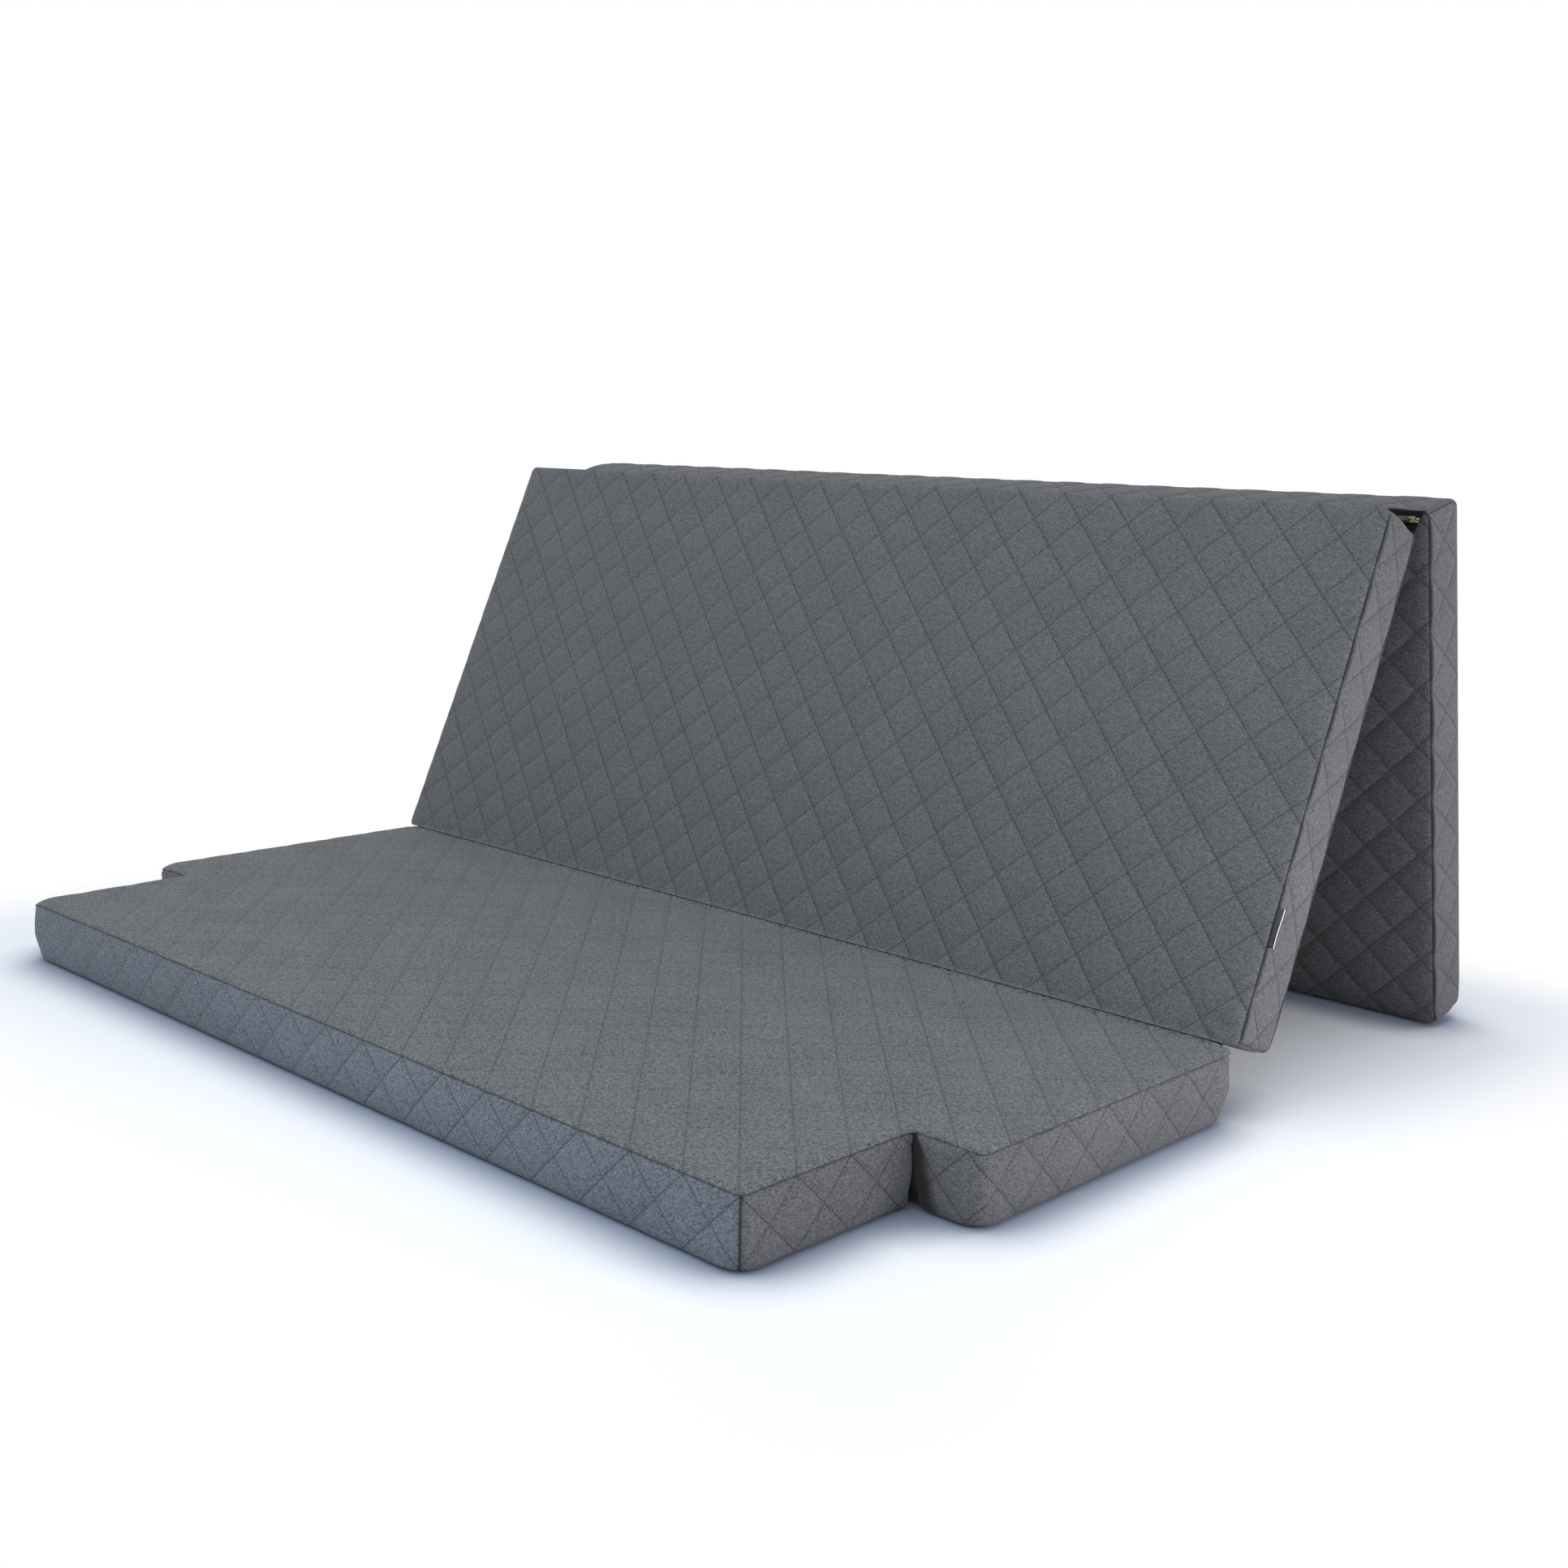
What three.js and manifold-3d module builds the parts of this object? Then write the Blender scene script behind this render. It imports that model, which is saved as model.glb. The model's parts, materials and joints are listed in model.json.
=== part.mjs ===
// Folding mattress for a bench bed: three quilted foam panels on two fabric folds.
// It stands in its seat pose. The front panel lies flat with its front corners cut away,
// the middle panel leans back as a backrest, and the rear panel props it up from behind.
// Units are millimetres. X runs across the mattress, Y from front to back, Z up.
// The origin is the centre of the seat's underside.
import * as THREE from 'three';
import { mergeVertices } from 'three/addons/utils/BufferGeometryUtils.js';
import Module from 'manifold-3d';

const wasm = await Module();
wasm.setup();

// Panels
const WIDTH = 1500;
const CUT_WIDTH = 83; // how far in the seat's front corners are cut away
const CUT_DEPTH = 225; // how far back they are cut away
const SEAT_LENGTH = 652;
const BACK_LENGTH = 617;
const REAR_LENGTH = 655;
const THICKNESS = 82; // over the quilting, at the panel's edge
const BACK_LEAN = THREE.MathUtils.degToRad(23.9); // backrest, from upright

// Cover and foam
const COVER = 6; // quilted cover: cloth, wadding and lining
const CROWN = 1.5; // how much fuller a panel is in its middle
const EDGE_REACH = 14; // how far in the soft edge starts to fall away
const CORNER_RADIUS = 18;
const STEP_RADIUS = 8; // hollow corners of the cut-aways
const SEAM = 0.3; // between sewn neighbours
const SAME_POINT = 0.0003; // corners of facets closer than this are one

// Quilting: diamonds on their points
const QUILT_PITCH = 70; // from point to point
const QUILT_PUFF = 2; // how high a diamond stands over its stitches
const SEAT_QUILT_START = 0; // from a panel's first edge to a stitch crossing
const BACK_QUILT_START = 53;
const REAR_QUILT_START = 3;

// Folds
const FOLD_GAP = 2; // from the seat fold's line to each panel's end
const FOLD_RISE = 0.5; // from a fold's line to the fullest quilting
const STRIP_THICKNESS = 1; // cloth strip in the seat fold
const ZIP_WIDTH = 29; // from the backrest's top end to the top fold's line
const HEM_REACH = 3; // from the top fold's line to the rear panel's end
const FOLD_EASE = 0.2; // how far the cloth on each side of a fold's line stays off it

// Zip in the top fold
const TAPE_THICKNESS = 1;
const TAPE_END = 2; // from the panel's side to the tape's end
const COIL_WIDTH = 2.2; // one of the two coils
const COIL_HEIGHT = 2.2;
const STOP_LENGTH = 4;
const SLIDER_LENGTH = 11;
const SLIDER_TAPER = 1; // how much each side narrows towards the tail
const SLIDER_WALL = 0.9;
const SLIDER_POST = 1.1; // width of the post that parts the coils
const SLIDER_ROUND = 1.5;
const BRIDGE_LENGTH = 7; // loop on the slider that the pull hangs on
const BRIDGE_WIDTH = 1.4;
const PULL_LENGTH = 20;
const PULL_WIDTH = 6;
const PULL_THICKNESS = 1;
const PULL_ROUND = 1.6;
const RUNNING_GAP = 0.35;

// Sewn-in tab on the backrest's right front seam
const LABEL_LENGTH = 44;
const LABEL_REACH = 8; // out of the seam
const LABEL_TUCK = 4; // held inside the seam
const LABEL_PLY = 0.6;
const LABEL_FOLD = 0.5; // between its two plies
const LABEL_START = 110; // above the backrest's lower end

// Facets
const CORNER_SEGMENTS = 3;
const EDGE_SEGMENTS = 2;
const OVERRUN = 40; // for cutters that run past what they cut
const HALVINGS = 40; // in the search for the rear panel's turn

const QUILT_HALF = QUILT_PITCH / 2;
const VALLEY = THICKNESS - QUILT_PUFF;
const FOLD_HEIGHT = CROWN + FOLD_RISE; // from a panel's face to a fold's line
const BAND_LOW = COVER + SEAM / 2;
const BAND_HIGH = THICKNESS - BAND_LOW;

const FABRIC_TOP = { color: 0x6b6f70, roughness: 0.95, metalness: 0 };
const FABRIC_BAND = { color: 0x6f7074, roughness: 0.95, metalness: 0 };
const FABRIC_UNDER = { color: 0x66666a, roughness: 0.95, metalness: 0 };
const FOAM = { color: 0xe9e2c8, roughness: 0.9, metalness: 0 };
const STRIP = { color: 0x4c4e50, roughness: 0.95, metalness: 0 };
const ZIP_TAPE = { color: 0x35373a, roughness: 0.85, metalness: 0 };
const ZIP_COIL = { color: 0x1f2022, roughness: 0.45, metalness: 0 };
const ZIP_METAL = { color: 0xb9ab8d, roughness: 0.32, metalness: 1 };
const LABEL_CLOTH = { color: 0x17181a, roughness: 0.6, metalness: 0 };

// Solids

function toSolid(geometry) {
  const bare = geometry.clone();
  bare.deleteAttribute('normal');
  bare.deleteAttribute('uv');
  const merged = mergeVertices(bare, SAME_POINT);
  return new wasm.Manifold(new wasm.Mesh({
    numProp: 3,
    vertProperties: new Float32Array(merged.attributes.position.array),
    triVerts: new Uint32Array(merged.index.array),
  }));
}

function toGeometry(solid) {
  const mesh = solid.getMesh();
  const geometry = new THREE.BufferGeometry();
  geometry.setAttribute('position', new THREE.BufferAttribute(mesh.vertProperties, 3));
  geometry.setIndex(new THREE.BufferAttribute(mesh.triVerts, 1));
  geometry.computeVertexNormals();
  return geometry;
}

function box(low, high) {
  const size = high.map((v, i) => v - low[i]);
  const geometry = new THREE.BoxGeometry(...size);
  geometry.translate(...high.map((v, i) => (v + low[i]) / 2));
  return toSolid(geometry);
}

function prism(shape, low, high, segments = CORNER_SEGMENTS) {
  const geometry = new THREE.ExtrudeGeometry(shape, {
    depth: high - low,
    bevelEnabled: false,
    curveSegments: segments,
  });
  geometry.translate(0, 0, low);
  return toSolid(geometry);
}

// A flat polygon from its corners, with every corner rounded. A corner that turns
// the other way, as in the seat's cut-aways, takes the hollow radius.
function roundedShape(points, radius, hollowRadius) {
  const shape = new THREE.Shape();
  const at = points.map(([x, y]) => new THREE.Vector2(x, y));
  at.forEach((corner, i) => {
    const before = at.at(i - 1).clone().sub(corner).normalize();
    const after = at[(i + 1) % at.length].clone().sub(corner).normalize();
    const r = after.cross(before) > 0 ? radius : hollowRadius;
    const start = corner.clone().addScaledVector(before, r);
    const end = corner.clone().addScaledVector(after, r);
    if (i === 0) shape.moveTo(start.x, start.y);
    else shape.lineTo(start.x, start.y);
    shape.quadraticCurveTo(corner.x, corner.y, end.x, end.y);
  });
  shape.closePath();
  return shape;
}

// Panel plan: its corners, anticlockwise from the first edge's left, drawn in by an inset
function planCorners(plan, inset) {
  const side = plan.half - inset;
  const near = inset;
  const far = plan.length - inset;
  if (!plan.step) return [[-side, near], [side, near], [side, far], [-side, far]];
  const narrow = plan.frontHalf - inset;
  const step = plan.step + inset;
  return [
    [-narrow, near], [narrow, near], [narrow, step], [side, step],
    [side, far], [-side, far], [-side, step], [-narrow, step],
  ];
}

function planShape(plan, inset) {
  return roundedShape(planCorners(plan, inset), CORNER_RADIUS - inset, STEP_RADIUS + inset);
}

// Block with soft edges: its sides fall away towards both faces along quarter ellipses
function softBlock(plan) {
  const drop = COVER + CROWN;
  const geometry = new THREE.ExtrudeGeometry(planShape(plan, 0), {
    depth: THICKNESS + 2 * CROWN - 2 * drop,
    bevelThickness: drop,
    bevelSize: EDGE_REACH,
    bevelOffset: -EDGE_REACH,
    bevelSegments: EDGE_SEGMENTS,
    curveSegments: CORNER_SEGMENTS,
  });
  geometry.translate(0, 0, drop - CROWN);
  return toSolid(geometry);
}

// How full the panel is at a place: 1 in its middle, 0 along its edges
function fullness(plan, x, y) {
  const across = 1 - (x / plan.half) ** 2;
  const along = 1 - (2 * y / plan.length - 1) ** 2;
  return Math.max(0, across) * Math.max(0, along);
}

// Whether a quilting point lies inside the soft edge, so that its diamonds are puffed
function insideEdge(plan, x, y) {
  const narrow = plan.step && y < plan.step + EDGE_REACH;
  const side = (narrow ? plan.frontHalf : plan.half) - EDGE_REACH;
  return Math.abs(x) <= side && y >= EDGE_REACH && y <= plan.length - EDGE_REACH;
}

// The quilting: a pyramid on every whole diamond, closed by a flat floor. A diamond is
// named by its middle, on a half-pitch grid, and its points are the four grid places round it.
function quilting(plan, floor) {
  const position = [];
  const columns = Math.ceil(plan.half / QUILT_HALF);
  const start = (plan.quiltStart % QUILT_PITCH) - QUILT_PITCH;
  const rows = Math.ceil((plan.length - start) / QUILT_HALF);
  const place = ([i, j]) => [i * QUILT_HALF, start + j * QUILT_HALF];
  const ringOf = ([i, j]) => [[i + 1, j], [i, j + 1], [i - 1, j], [i, j - 1]];
  const isWhole = (middle) => ringOf(middle).every((point) => insideEdge(plan, ...place(point)));
  const height = (point, puff) => {
    const [x, y] = place(point);
    return [x, y, VALLEY + puff + CROWN * fullness(plan, x, y)];
  };
  const onFloor = (point) => [...place(point), floor];
  for (let i = -columns; i <= columns; i++) {
    for (let j = 0; j <= rows; j++) {
      const middle = [i, j];
      if ((i + j) % 2 !== 0 || !isWhole(middle)) continue;
      const ring = ringOf(middle);
      ring.forEach((point, k) => {
        const next = ring[(k + 1) % ring.length];
        const across = [point[0] + next[0] - i, point[1] + next[1] - j];
        position.push(...height(middle, QUILT_PUFF), ...height(point, 0), ...height(next, 0));
        position.push(...onFloor(middle), ...onFloor(next), ...onFloor(point));
        if (isWhole(across)) return;
        position.push(...height(point, 0), ...onFloor(point), ...height(next, 0));
        position.push(...height(next, 0), ...onFloor(point), ...onFloor(next));
      });
    }
  }
  const geometry = new THREE.BufferGeometry();
  geometry.setAttribute('position', new THREE.Float32BufferAttribute(position, 3));
  return toSolid(geometry);
}

// A flat layer over the whole panel, wider than it, between two heights
function layer(plan, low, high) {
  const side = plan.half + OVERRUN;
  return box([-side, -OVERRUN, low], [side, plan.length + OVERRUN, high]);
}

// Covers: the quilted top, and an underside that is quilted too, or plain where it lies
// on the floor or faces the hollow behind the backrest
function sleepCover(plan) {
  const floor = THICKNESS - BAND_LOW + SEAM;
  return layer(plan, floor, VALLEY).intersect(softBlock(plan)).add(quilting(plan, floor));
}

function underCover(plan) {
  if (plan.quiltedUnder) {
    return sleepCover(plan).rotate([0, 180, 0]).translate([0, 0, THICKNESS]);
  }
  return layer(plan, 0, BAND_LOW - SEAM).intersect(softBlock(plan));
}

function foamCore(plan) {
  return prism(planShape(plan, COVER + SEAM), BAND_LOW, BAND_HIGH);
}

// One straight run of a side band, from one plan corner to the next, mitred at its ends,
// with its row of puffed diamonds facing out. It is made along X and then turned into place.
function bandRun(plan, index, startGap, endGap) {
  const corner = (inset, i) => {
    const corners = planCorners(plan, inset);
    return new THREE.Vector2(...corners[i % corners.length]);
  };
  const from = corner(0, index);
  const reach = corner(0, index + 1).sub(from);
  const length = reach.length();
  const along = reach.clone().normalize();
  const innerStart = corner(COVER, index).sub(from).dot(along);
  const innerEnd = corner(COVER, index + 1).sub(from).dot(along);
  const wedge = new THREE.Shape([
    new THREE.Vector2(startGap, 0),
    new THREE.Vector2(length - endGap, 0),
    new THREE.Vector2(innerEnd - endGap, COVER),
    new THREE.Vector2(innerStart + startGap, COVER),
  ]);
  const middle = (BAND_LOW + BAND_HIGH) / 2;
  const low = [-OVERRUN, QUILT_PUFF, BAND_LOW];
  let wall = box(low, [length + OVERRUN, COVER, BAND_HIGH]);
  const runsAcross = Math.abs(along.x) > Math.abs(along.y);
  const first = runsAcross ? (QUILT_HALF - from.x) * along.x : (plan.quiltStart - from.y) * along.y;
  const begin = first - QUILT_PITCH * Math.ceil((first + QUILT_HALF) / QUILT_PITCH);
  const stop = plan.plainBands?.includes(index) ? begin : length + QUILT_HALF;
  for (let x = begin; x < stop; x += QUILT_PITCH) {
    const puff = new THREE.ConeGeometry(1, 1, 4);
    puff.rotateX(Math.PI);
    puff.translate(0, 1 / 2, 0);
    puff.scale(QUILT_HALF, QUILT_PUFF, (BAND_HIGH - BAND_LOW) / 2);
    puff.translate(x, 0, middle);
    wall = wall.add(toSolid(puff));
  }
  const turn = THREE.MathUtils.radToDeg(along.angle());
  return wall.intersect(prism(wedge, BAND_LOW, BAND_HIGH)).rotate([0, 0, turn])
    .translate([from.x, from.y, 0]);
}

// A side band: its runs joined, and trimmed to the panel's rounded corners. Only the ends
// of the whole band have a seam to the next one; its own runs lap into each other.
function sideBand(plan, indices) {
  const ring = prism(planShape(plan, 0), BAND_LOW, BAND_HIGH).subtract(
    prism(planShape(plan, COVER), BAND_LOW - OVERRUN, BAND_HIGH + OVERRUN));
  const runs = indices.map((index, k) => {
    const startGap = k === 0 ? SEAM : -SEAM;
    const endGap = k === indices.length - 1 ? SEAM : -SEAM;
    return bandRun(plan, index, startGap, endGap);
  });
  return runs.reduce((a, b) => a.add(b)).intersect(ring);
}

// Solid with a section in the Y and Z plane, drawn as (y, z), and run along X
function runAcross(shape, low, high) {
  const geometry = new THREE.ExtrudeGeometry(shape, {
    depth: high - low,
    bevelEnabled: false,
    curveSegments: 2 * CORNER_SEGMENTS,
  });
  geometry.translate(0, 0, low);
  const turn = new THREE.Matrix4().makeBasis(
    new THREE.Vector3(0, 1, 0), new THREE.Vector3(0, 0, 1), new THREE.Vector3(1, 0, 0));
  return toSolid(geometry.applyMatrix4(turn));
}

// Cloth strip inside the seat fold: an arc round the fold's line, from the seat's upper
// seam to the backrest's, open by the angle that the backrest is turned down from lying flat
function foldStrip(opening) {
  const radius = COVER + FOLD_HEIGHT;
  const lap = Math.asin((FOLD_GAP - SEAM) / radius);
  const start = -Math.PI / 2 - lap;
  const end = -Math.PI / 2 + opening + lap;
  const section = new THREE.Shape();
  section.absarc(0, 0, radius + STRIP_THICKNESS / 2, start, end, false);
  section.absarc(0, 0, radius - STRIP_THICKNESS / 2, end, start, true);
  section.closePath();
  const side = WIDTH / 2 - CORNER_RADIUS;
  return runAcross(section, -side, side);
}

// Hem at the rear panel's top end: from its underside seam to just short of the fold's line
function rearHem() {
  const seam = new THREE.Vector2(-SEAM - TAPE_THICKNESS / 2, COVER);
  const line = new THREE.Vector2(-HEM_REACH, -FOLD_HEIGHT);
  const along = line.clone().sub(seam).normalize();
  const end = line.addScaledVector(along, -FOLD_EASE - TAPE_THICKNESS / 2);
  const side = new THREE.Vector2(-along.y, along.x).multiplyScalar(TAPE_THICKNESS / 2);
  const section = new THREE.Shape([
    seam.clone().add(side), seam.clone().sub(side),
    end.clone().sub(side), end.clone().add(side),
  ]);
  const reach = WIDTH / 2 - TAPE_END;
  return runAcross(section, -reach, reach);
}

// Zip: it lies in a plane from the backrest's underside seam to the top fold's line.
// Its own Y runs from the seam to the line and its Z points out of its front.
const zipSpan = Math.hypot(ZIP_WIDTH, COVER + FOLD_HEIGHT);
const zipTurn = -Math.atan2(COVER + FOLD_HEIGHT, ZIP_WIDTH);
const zipReach = WIDTH / 2 - TAPE_END;
const coilSlit = SLIDER_POST / 2 + RUNNING_GAP; // from the middle of the zip to a coil
const tapeTop = TAPE_THICKNESS / 2;
const coilLow = tapeTop + SEAM;
const coilTop = coilLow + COIL_HEIGHT;

// Side is -1 for the backrest's half of the zip and 1 for the rear panel's
function zipTape(side) {
  const outer = zipSpan / 2 - (side < 0 ? SEAM : FOLD_EASE + tapeTop);
  const inner = coilSlit;
  const ends = [side * inner, side * outer].sort((a, b) => a - b);
  return box([-zipReach, ends[0], -tapeTop], [zipReach, ends[1], tapeTop]);
}

function zipCoil(side) {
  const ends = [side * coilSlit, side * (coilSlit + COIL_WIDTH)].sort((a, b) => a - b);
  const stop = zipReach - STOP_LENGTH - SEAM;
  return box([-stop, ends[0], coilLow], [stop, ends[1], coilTop]);
}

// Bent wire clips that end the coils: one across both at the left, one on each at the right
function zipStop(side) {
  const reach = coilSlit + COIL_WIDTH;
  if (side === 0) {
    return box([-zipReach, -reach, coilLow], [-zipReach + STOP_LENGTH, reach, coilTop]);
  }
  const ends = [side * coilSlit, side * reach].sort((a, b) => a - b);
  return box([zipReach - STOP_LENGTH, ends[0], coilLow], [zipReach, ends[1], coilTop]);
}

const sliderLow = -tapeTop - RUNNING_GAP;
const sliderTop = coilTop + RUNNING_GAP;
const sliderHalf = coilSlit + COIL_WIDTH + RUNNING_GAP + SLIDER_WALL;
const sliderNose = zipReach - STOP_LENGTH - SEAM - RUNNING_GAP;
const sliderMiddle = sliderNose - SLIDER_LENGTH / 2;
const pullAxis = sliderTop + SLIDER_WALL + RUNNING_GAP + PULL_THICKNESS * Math.SQRT1_2;
const bridgeInside = pullAxis + PULL_THICKNESS * Math.SQRT1_2 + RUNNING_GAP;

// Slider: a flat tunnel round the coils, open at its sides for the tapes, with a post
// between the coils at its nose and a loop on top for the pull
function zipSlider() {
  const tail = sliderNose - SLIDER_LENGTH;
  const plan = roundedShape([
    [tail, -sliderHalf + SLIDER_TAPER], [sliderNose, -sliderHalf],
    [sliderNose, sliderHalf], [tail, sliderHalf - SLIDER_TAPER],
  ], SLIDER_ROUND, SLIDER_ROUND);
  const shell = prism(plan, sliderLow - SLIDER_WALL, sliderTop + SLIDER_WALL);
  const inner = sliderHalf - SLIDER_WALL;
  const from = tail - OVERRUN;
  const to = sliderNose + OVERRUN;
  const tunnel = box([from, -inner, sliderLow], [to, inner, sliderTop]);
  const slots = box([from, -OVERRUN, sliderLow], [to, OVERRUN, coilLow + RUNNING_GAP / 2]);
  const postEnd = sliderNose - SLIDER_WALL;
  const post = box([postEnd - 2 * SLIDER_POST, -SLIDER_POST / 2, sliderLow - SLIDER_WALL / 2],
    [postEnd, SLIDER_POST / 2, sliderTop + SLIDER_WALL / 2]);
  const footing = sliderTop + SLIDER_WALL / 2;
  const arch = new THREE.Shape();
  const outerRise = bridgeInside + SLIDER_WALL - footing;
  arch.absellipse(0, 0, BRIDGE_LENGTH / 2, outerRise, 0, Math.PI, false, 0);
  arch.closePath();
  const innerHalf = BRIDGE_LENGTH / 2 - SLIDER_WALL;
  const hollow = new THREE.Shape([
    new THREE.Vector2(-innerHalf, -OVERRUN),
    new THREE.Vector2(innerHalf, -OVERRUN),
    new THREE.Vector2(innerHalf, bridgeInside - footing - SLIDER_WALL),
    new THREE.Vector2(innerHalf - SLIDER_WALL, bridgeInside - footing),
    new THREE.Vector2(-innerHalf + SLIDER_WALL, bridgeInside - footing),
    new THREE.Vector2(-innerHalf, bridgeInside - footing - SLIDER_WALL),
  ]);
  const bridge = prism(arch, -BRIDGE_WIDTH / 2, BRIDGE_WIDTH / 2, 2 * CORNER_SEGMENTS)
    .subtract(prism(hollow, -OVERRUN, OVERRUN))
    .rotate([90, 0, 0])
    .translate([sliderMiddle, 0, footing]);
  return shell.subtract(tunnel).subtract(slots).add(post).add(bridge);
}

// Pull: a flat tab with a window at its root, whose cross bar hangs under the slider's loop
function zipPull() {
  const root = sliderMiddle + PULL_THICKNESS / 2;
  const low = pullAxis - PULL_THICKNESS / 2;
  const high = pullAxis + PULL_THICKNESS / 2;
  const tab = prism(roundedShape([
    [root - PULL_LENGTH, -PULL_WIDTH / 2], [root, -PULL_WIDTH / 2],
    [root, PULL_WIDTH / 2], [root - PULL_LENGTH, PULL_WIDTH / 2],
  ], PULL_ROUND, PULL_ROUND), low, high);
  const windowHalf = BRIDGE_WIDTH / 2 + RUNNING_GAP;
  const windowEnd = root - PULL_THICKNESS;
  const window = box([windowEnd - BRIDGE_LENGTH / 2 - RUNNING_GAP, -windowHalf, low - OVERRUN],
    [windowEnd, windowHalf, high + OVERRUN]);
  return tab.subtract(window);
}

// Folded cloth tab in the backrest's right side, tucked under the sleeping cover's edge
const labelPlace = {
  low: LABEL_START,
  high: LABEL_START + LABEL_LENGTH,
  inner: WIDTH / 2 - LABEL_TUCK,
  outer: WIDTH / 2 + LABEL_REACH,
  bottom: BAND_HIGH - 2 * LABEL_PLY - LABEL_FOLD,
};

function sideLabel() {
  const { low, high, inner, outer, bottom } = labelPlace;
  const cloth = box([inner, low, bottom], [outer, high, BAND_HIGH]);
  const between = box([inner - OVERRUN, low - OVERRUN, bottom + LABEL_PLY],
    [outer - LABEL_PLY, high + OVERRUN, BAND_HIGH - LABEL_PLY]);
  return cloth.subtract(between);
}

function cutLabelPocket(band) {
  const { low, high, inner, outer, bottom } = labelPlace;
  return band.subtract(box([inner - SEAM, low - SEAM, bottom - SEAM],
    [outer + OVERRUN, high + SEAM, BAND_HIGH + OVERRUN]));
}

// Scene graph

function piece(name, solid, look) {
  const mesh = new THREE.Mesh(toGeometry(solid), new THREE.MeshStandardMaterial(look));
  mesh.name = name;
  return mesh;
}

function place(parent, child, position, turn = 0) {
  child.position.set(...position);
  child.rotation.x = turn;
  parent.add(child);
  return child;
}

function panel(name, plan, changes = {}) {
  const group = new THREE.Group();
  const [firstEnd, lastEnd] = plan.ends;
  const bands = plan.step
    ? { [firstEnd]: [0], right: [1, 2, 3], [lastEnd]: [4], left: [5, 6, 7] }
    : { [firstEnd]: [0], right: [1], [lastEnd]: [2], left: [3] };
  group.add(piece(`${name}_foam_core`, foamCore(plan), FOAM));
  group.add(piece(`${name}_sleep_cover`, sleepCover(plan), FABRIC_TOP));
  group.add(piece(`${name}_under_cover`, underCover(plan), FABRIC_UNDER));
  for (const [side, indices] of Object.entries(bands)) {
    const band = sideBand(plan, indices);
    const change = changes[side];
    group.add(piece(`${name}_${side}_band`, change ? change(band) : band, FABRIC_BAND));
  }
  return group;
}

function zip() {
  const group = new THREE.Group();
  group.add(piece('zip_tape_back', zipTape(-1), ZIP_TAPE));
  group.add(piece('zip_tape_rear', zipTape(1), ZIP_TAPE));
  group.add(piece('zip_coil_back', zipCoil(-1), ZIP_COIL));
  group.add(piece('zip_coil_rear', zipCoil(1), ZIP_COIL));
  group.add(piece('zip_left_stop', zipStop(0), ZIP_METAL));
  group.add(piece('zip_right_stop_back', zipStop(-1), ZIP_METAL));
  group.add(piece('zip_right_stop_rear', zipStop(1), ZIP_METAL));
  group.add(piece('zip_slider', zipSlider(), ZIP_METAL));
  group.add(piece('zip_pull', zipPull(), ZIP_METAL));
  return group;
}

// The turn that sets the rear panel's lower end on the floor, found by halving: it hangs
// from a fold at a height, and swings back until its lowest point is level with the floor
function standingTurn(group, height) {
  group.updateMatrixWorld(true);
  const spots = [];
  group.traverse((node) => {
    if (!node.isMesh) return;
    const at = node.geometry.attributes.position;
    for (let i = 0; i < at.count; i++) {
      const spot = new THREE.Vector3().fromBufferAttribute(at, i).applyMatrix4(node.matrixWorld);
      spots.push([spot.y, spot.z]);
    }
  });
  const lowest = (turn) => spots.reduce(
    (low, [y, z]) => Math.min(low, y * Math.sin(turn) + z * Math.cos(turn)), 0) + height;
  let down = -Math.PI / 2;
  let up = 0;
  for (let step = 0; step < HALVINGS; step++) {
    const middle = (down + up) / 2;
    if (lowest(middle) < 0) down = middle;
    else up = middle;
  }
  return up;
}

const plan = { half: WIDTH / 2 };
const seatPlan = {
  ...plan,
  frontHalf: WIDTH / 2 - CUT_WIDTH,
  step: CUT_DEPTH,
  length: SEAT_LENGTH,
  ends: ['front', 'rear'],
  quiltStart: SEAT_QUILT_START,
  plainBands: [4],
};
const backPlan = {
  ...plan,
  length: BACK_LENGTH,
  ends: ['lower', 'upper'],
  quiltStart: BACK_QUILT_START,
  plainBands: [0, 2],
};
const rearPlan = {
  ...plan,
  length: REAR_LENGTH,
  ends: ['upper', 'lower'],
  quiltStart: REAR_QUILT_START,
  quiltedUnder: true,
};

const mattress = new THREE.Group();
const backTurn = Math.PI / 2 - BACK_LEAN;
const foldLine = THICKNESS + FOLD_HEIGHT;

const seat = place(mattress, panel('seat', seatPlan), [0, -SEAT_LENGTH / 2, 0]);
const foldAt = [0, SEAT_LENGTH + FOLD_GAP, foldLine];
place(seat, piece('seat_fold_strip', foldStrip(backTurn), STRIP), foldAt);

const seatFold = place(seat, new THREE.Group(), foldAt, backTurn);
const back = panel('back', backPlan, { right: cutLabelPocket });
place(seatFold, back, [0, FOLD_GAP, -foldLine]);
back.add(piece('side_label', sideLabel(), LABEL_CLOTH));
const zipPlace = new THREE.Vector3(0, zipSpan / 2, 0)
  .applyAxisAngle(new THREE.Vector3(1, 0, 0), zipTurn);
place(back, zip(), [0, BACK_LENGTH + zipPlace.y, COVER + zipPlace.z], zipTurn);

const rear = new THREE.Group();
const rearPanel = place(rear, panel('rear', rearPlan), [0, HEM_REACH, FOLD_HEIGHT]);
rearPanel.add(piece('rear_hem', rearHem(), ZIP_TAPE));
const topFoldAt = [0, BACK_LENGTH + ZIP_WIDTH, -FOLD_HEIGHT];
mattress.updateMatrixWorld(true);
const topFoldHeight = back.localToWorld(new THREE.Vector3(...topFoldAt)).z;
place(back, rear, topFoldAt, standingTurn(rear, topFoldHeight) - backTurn);

export default mattress;
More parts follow.
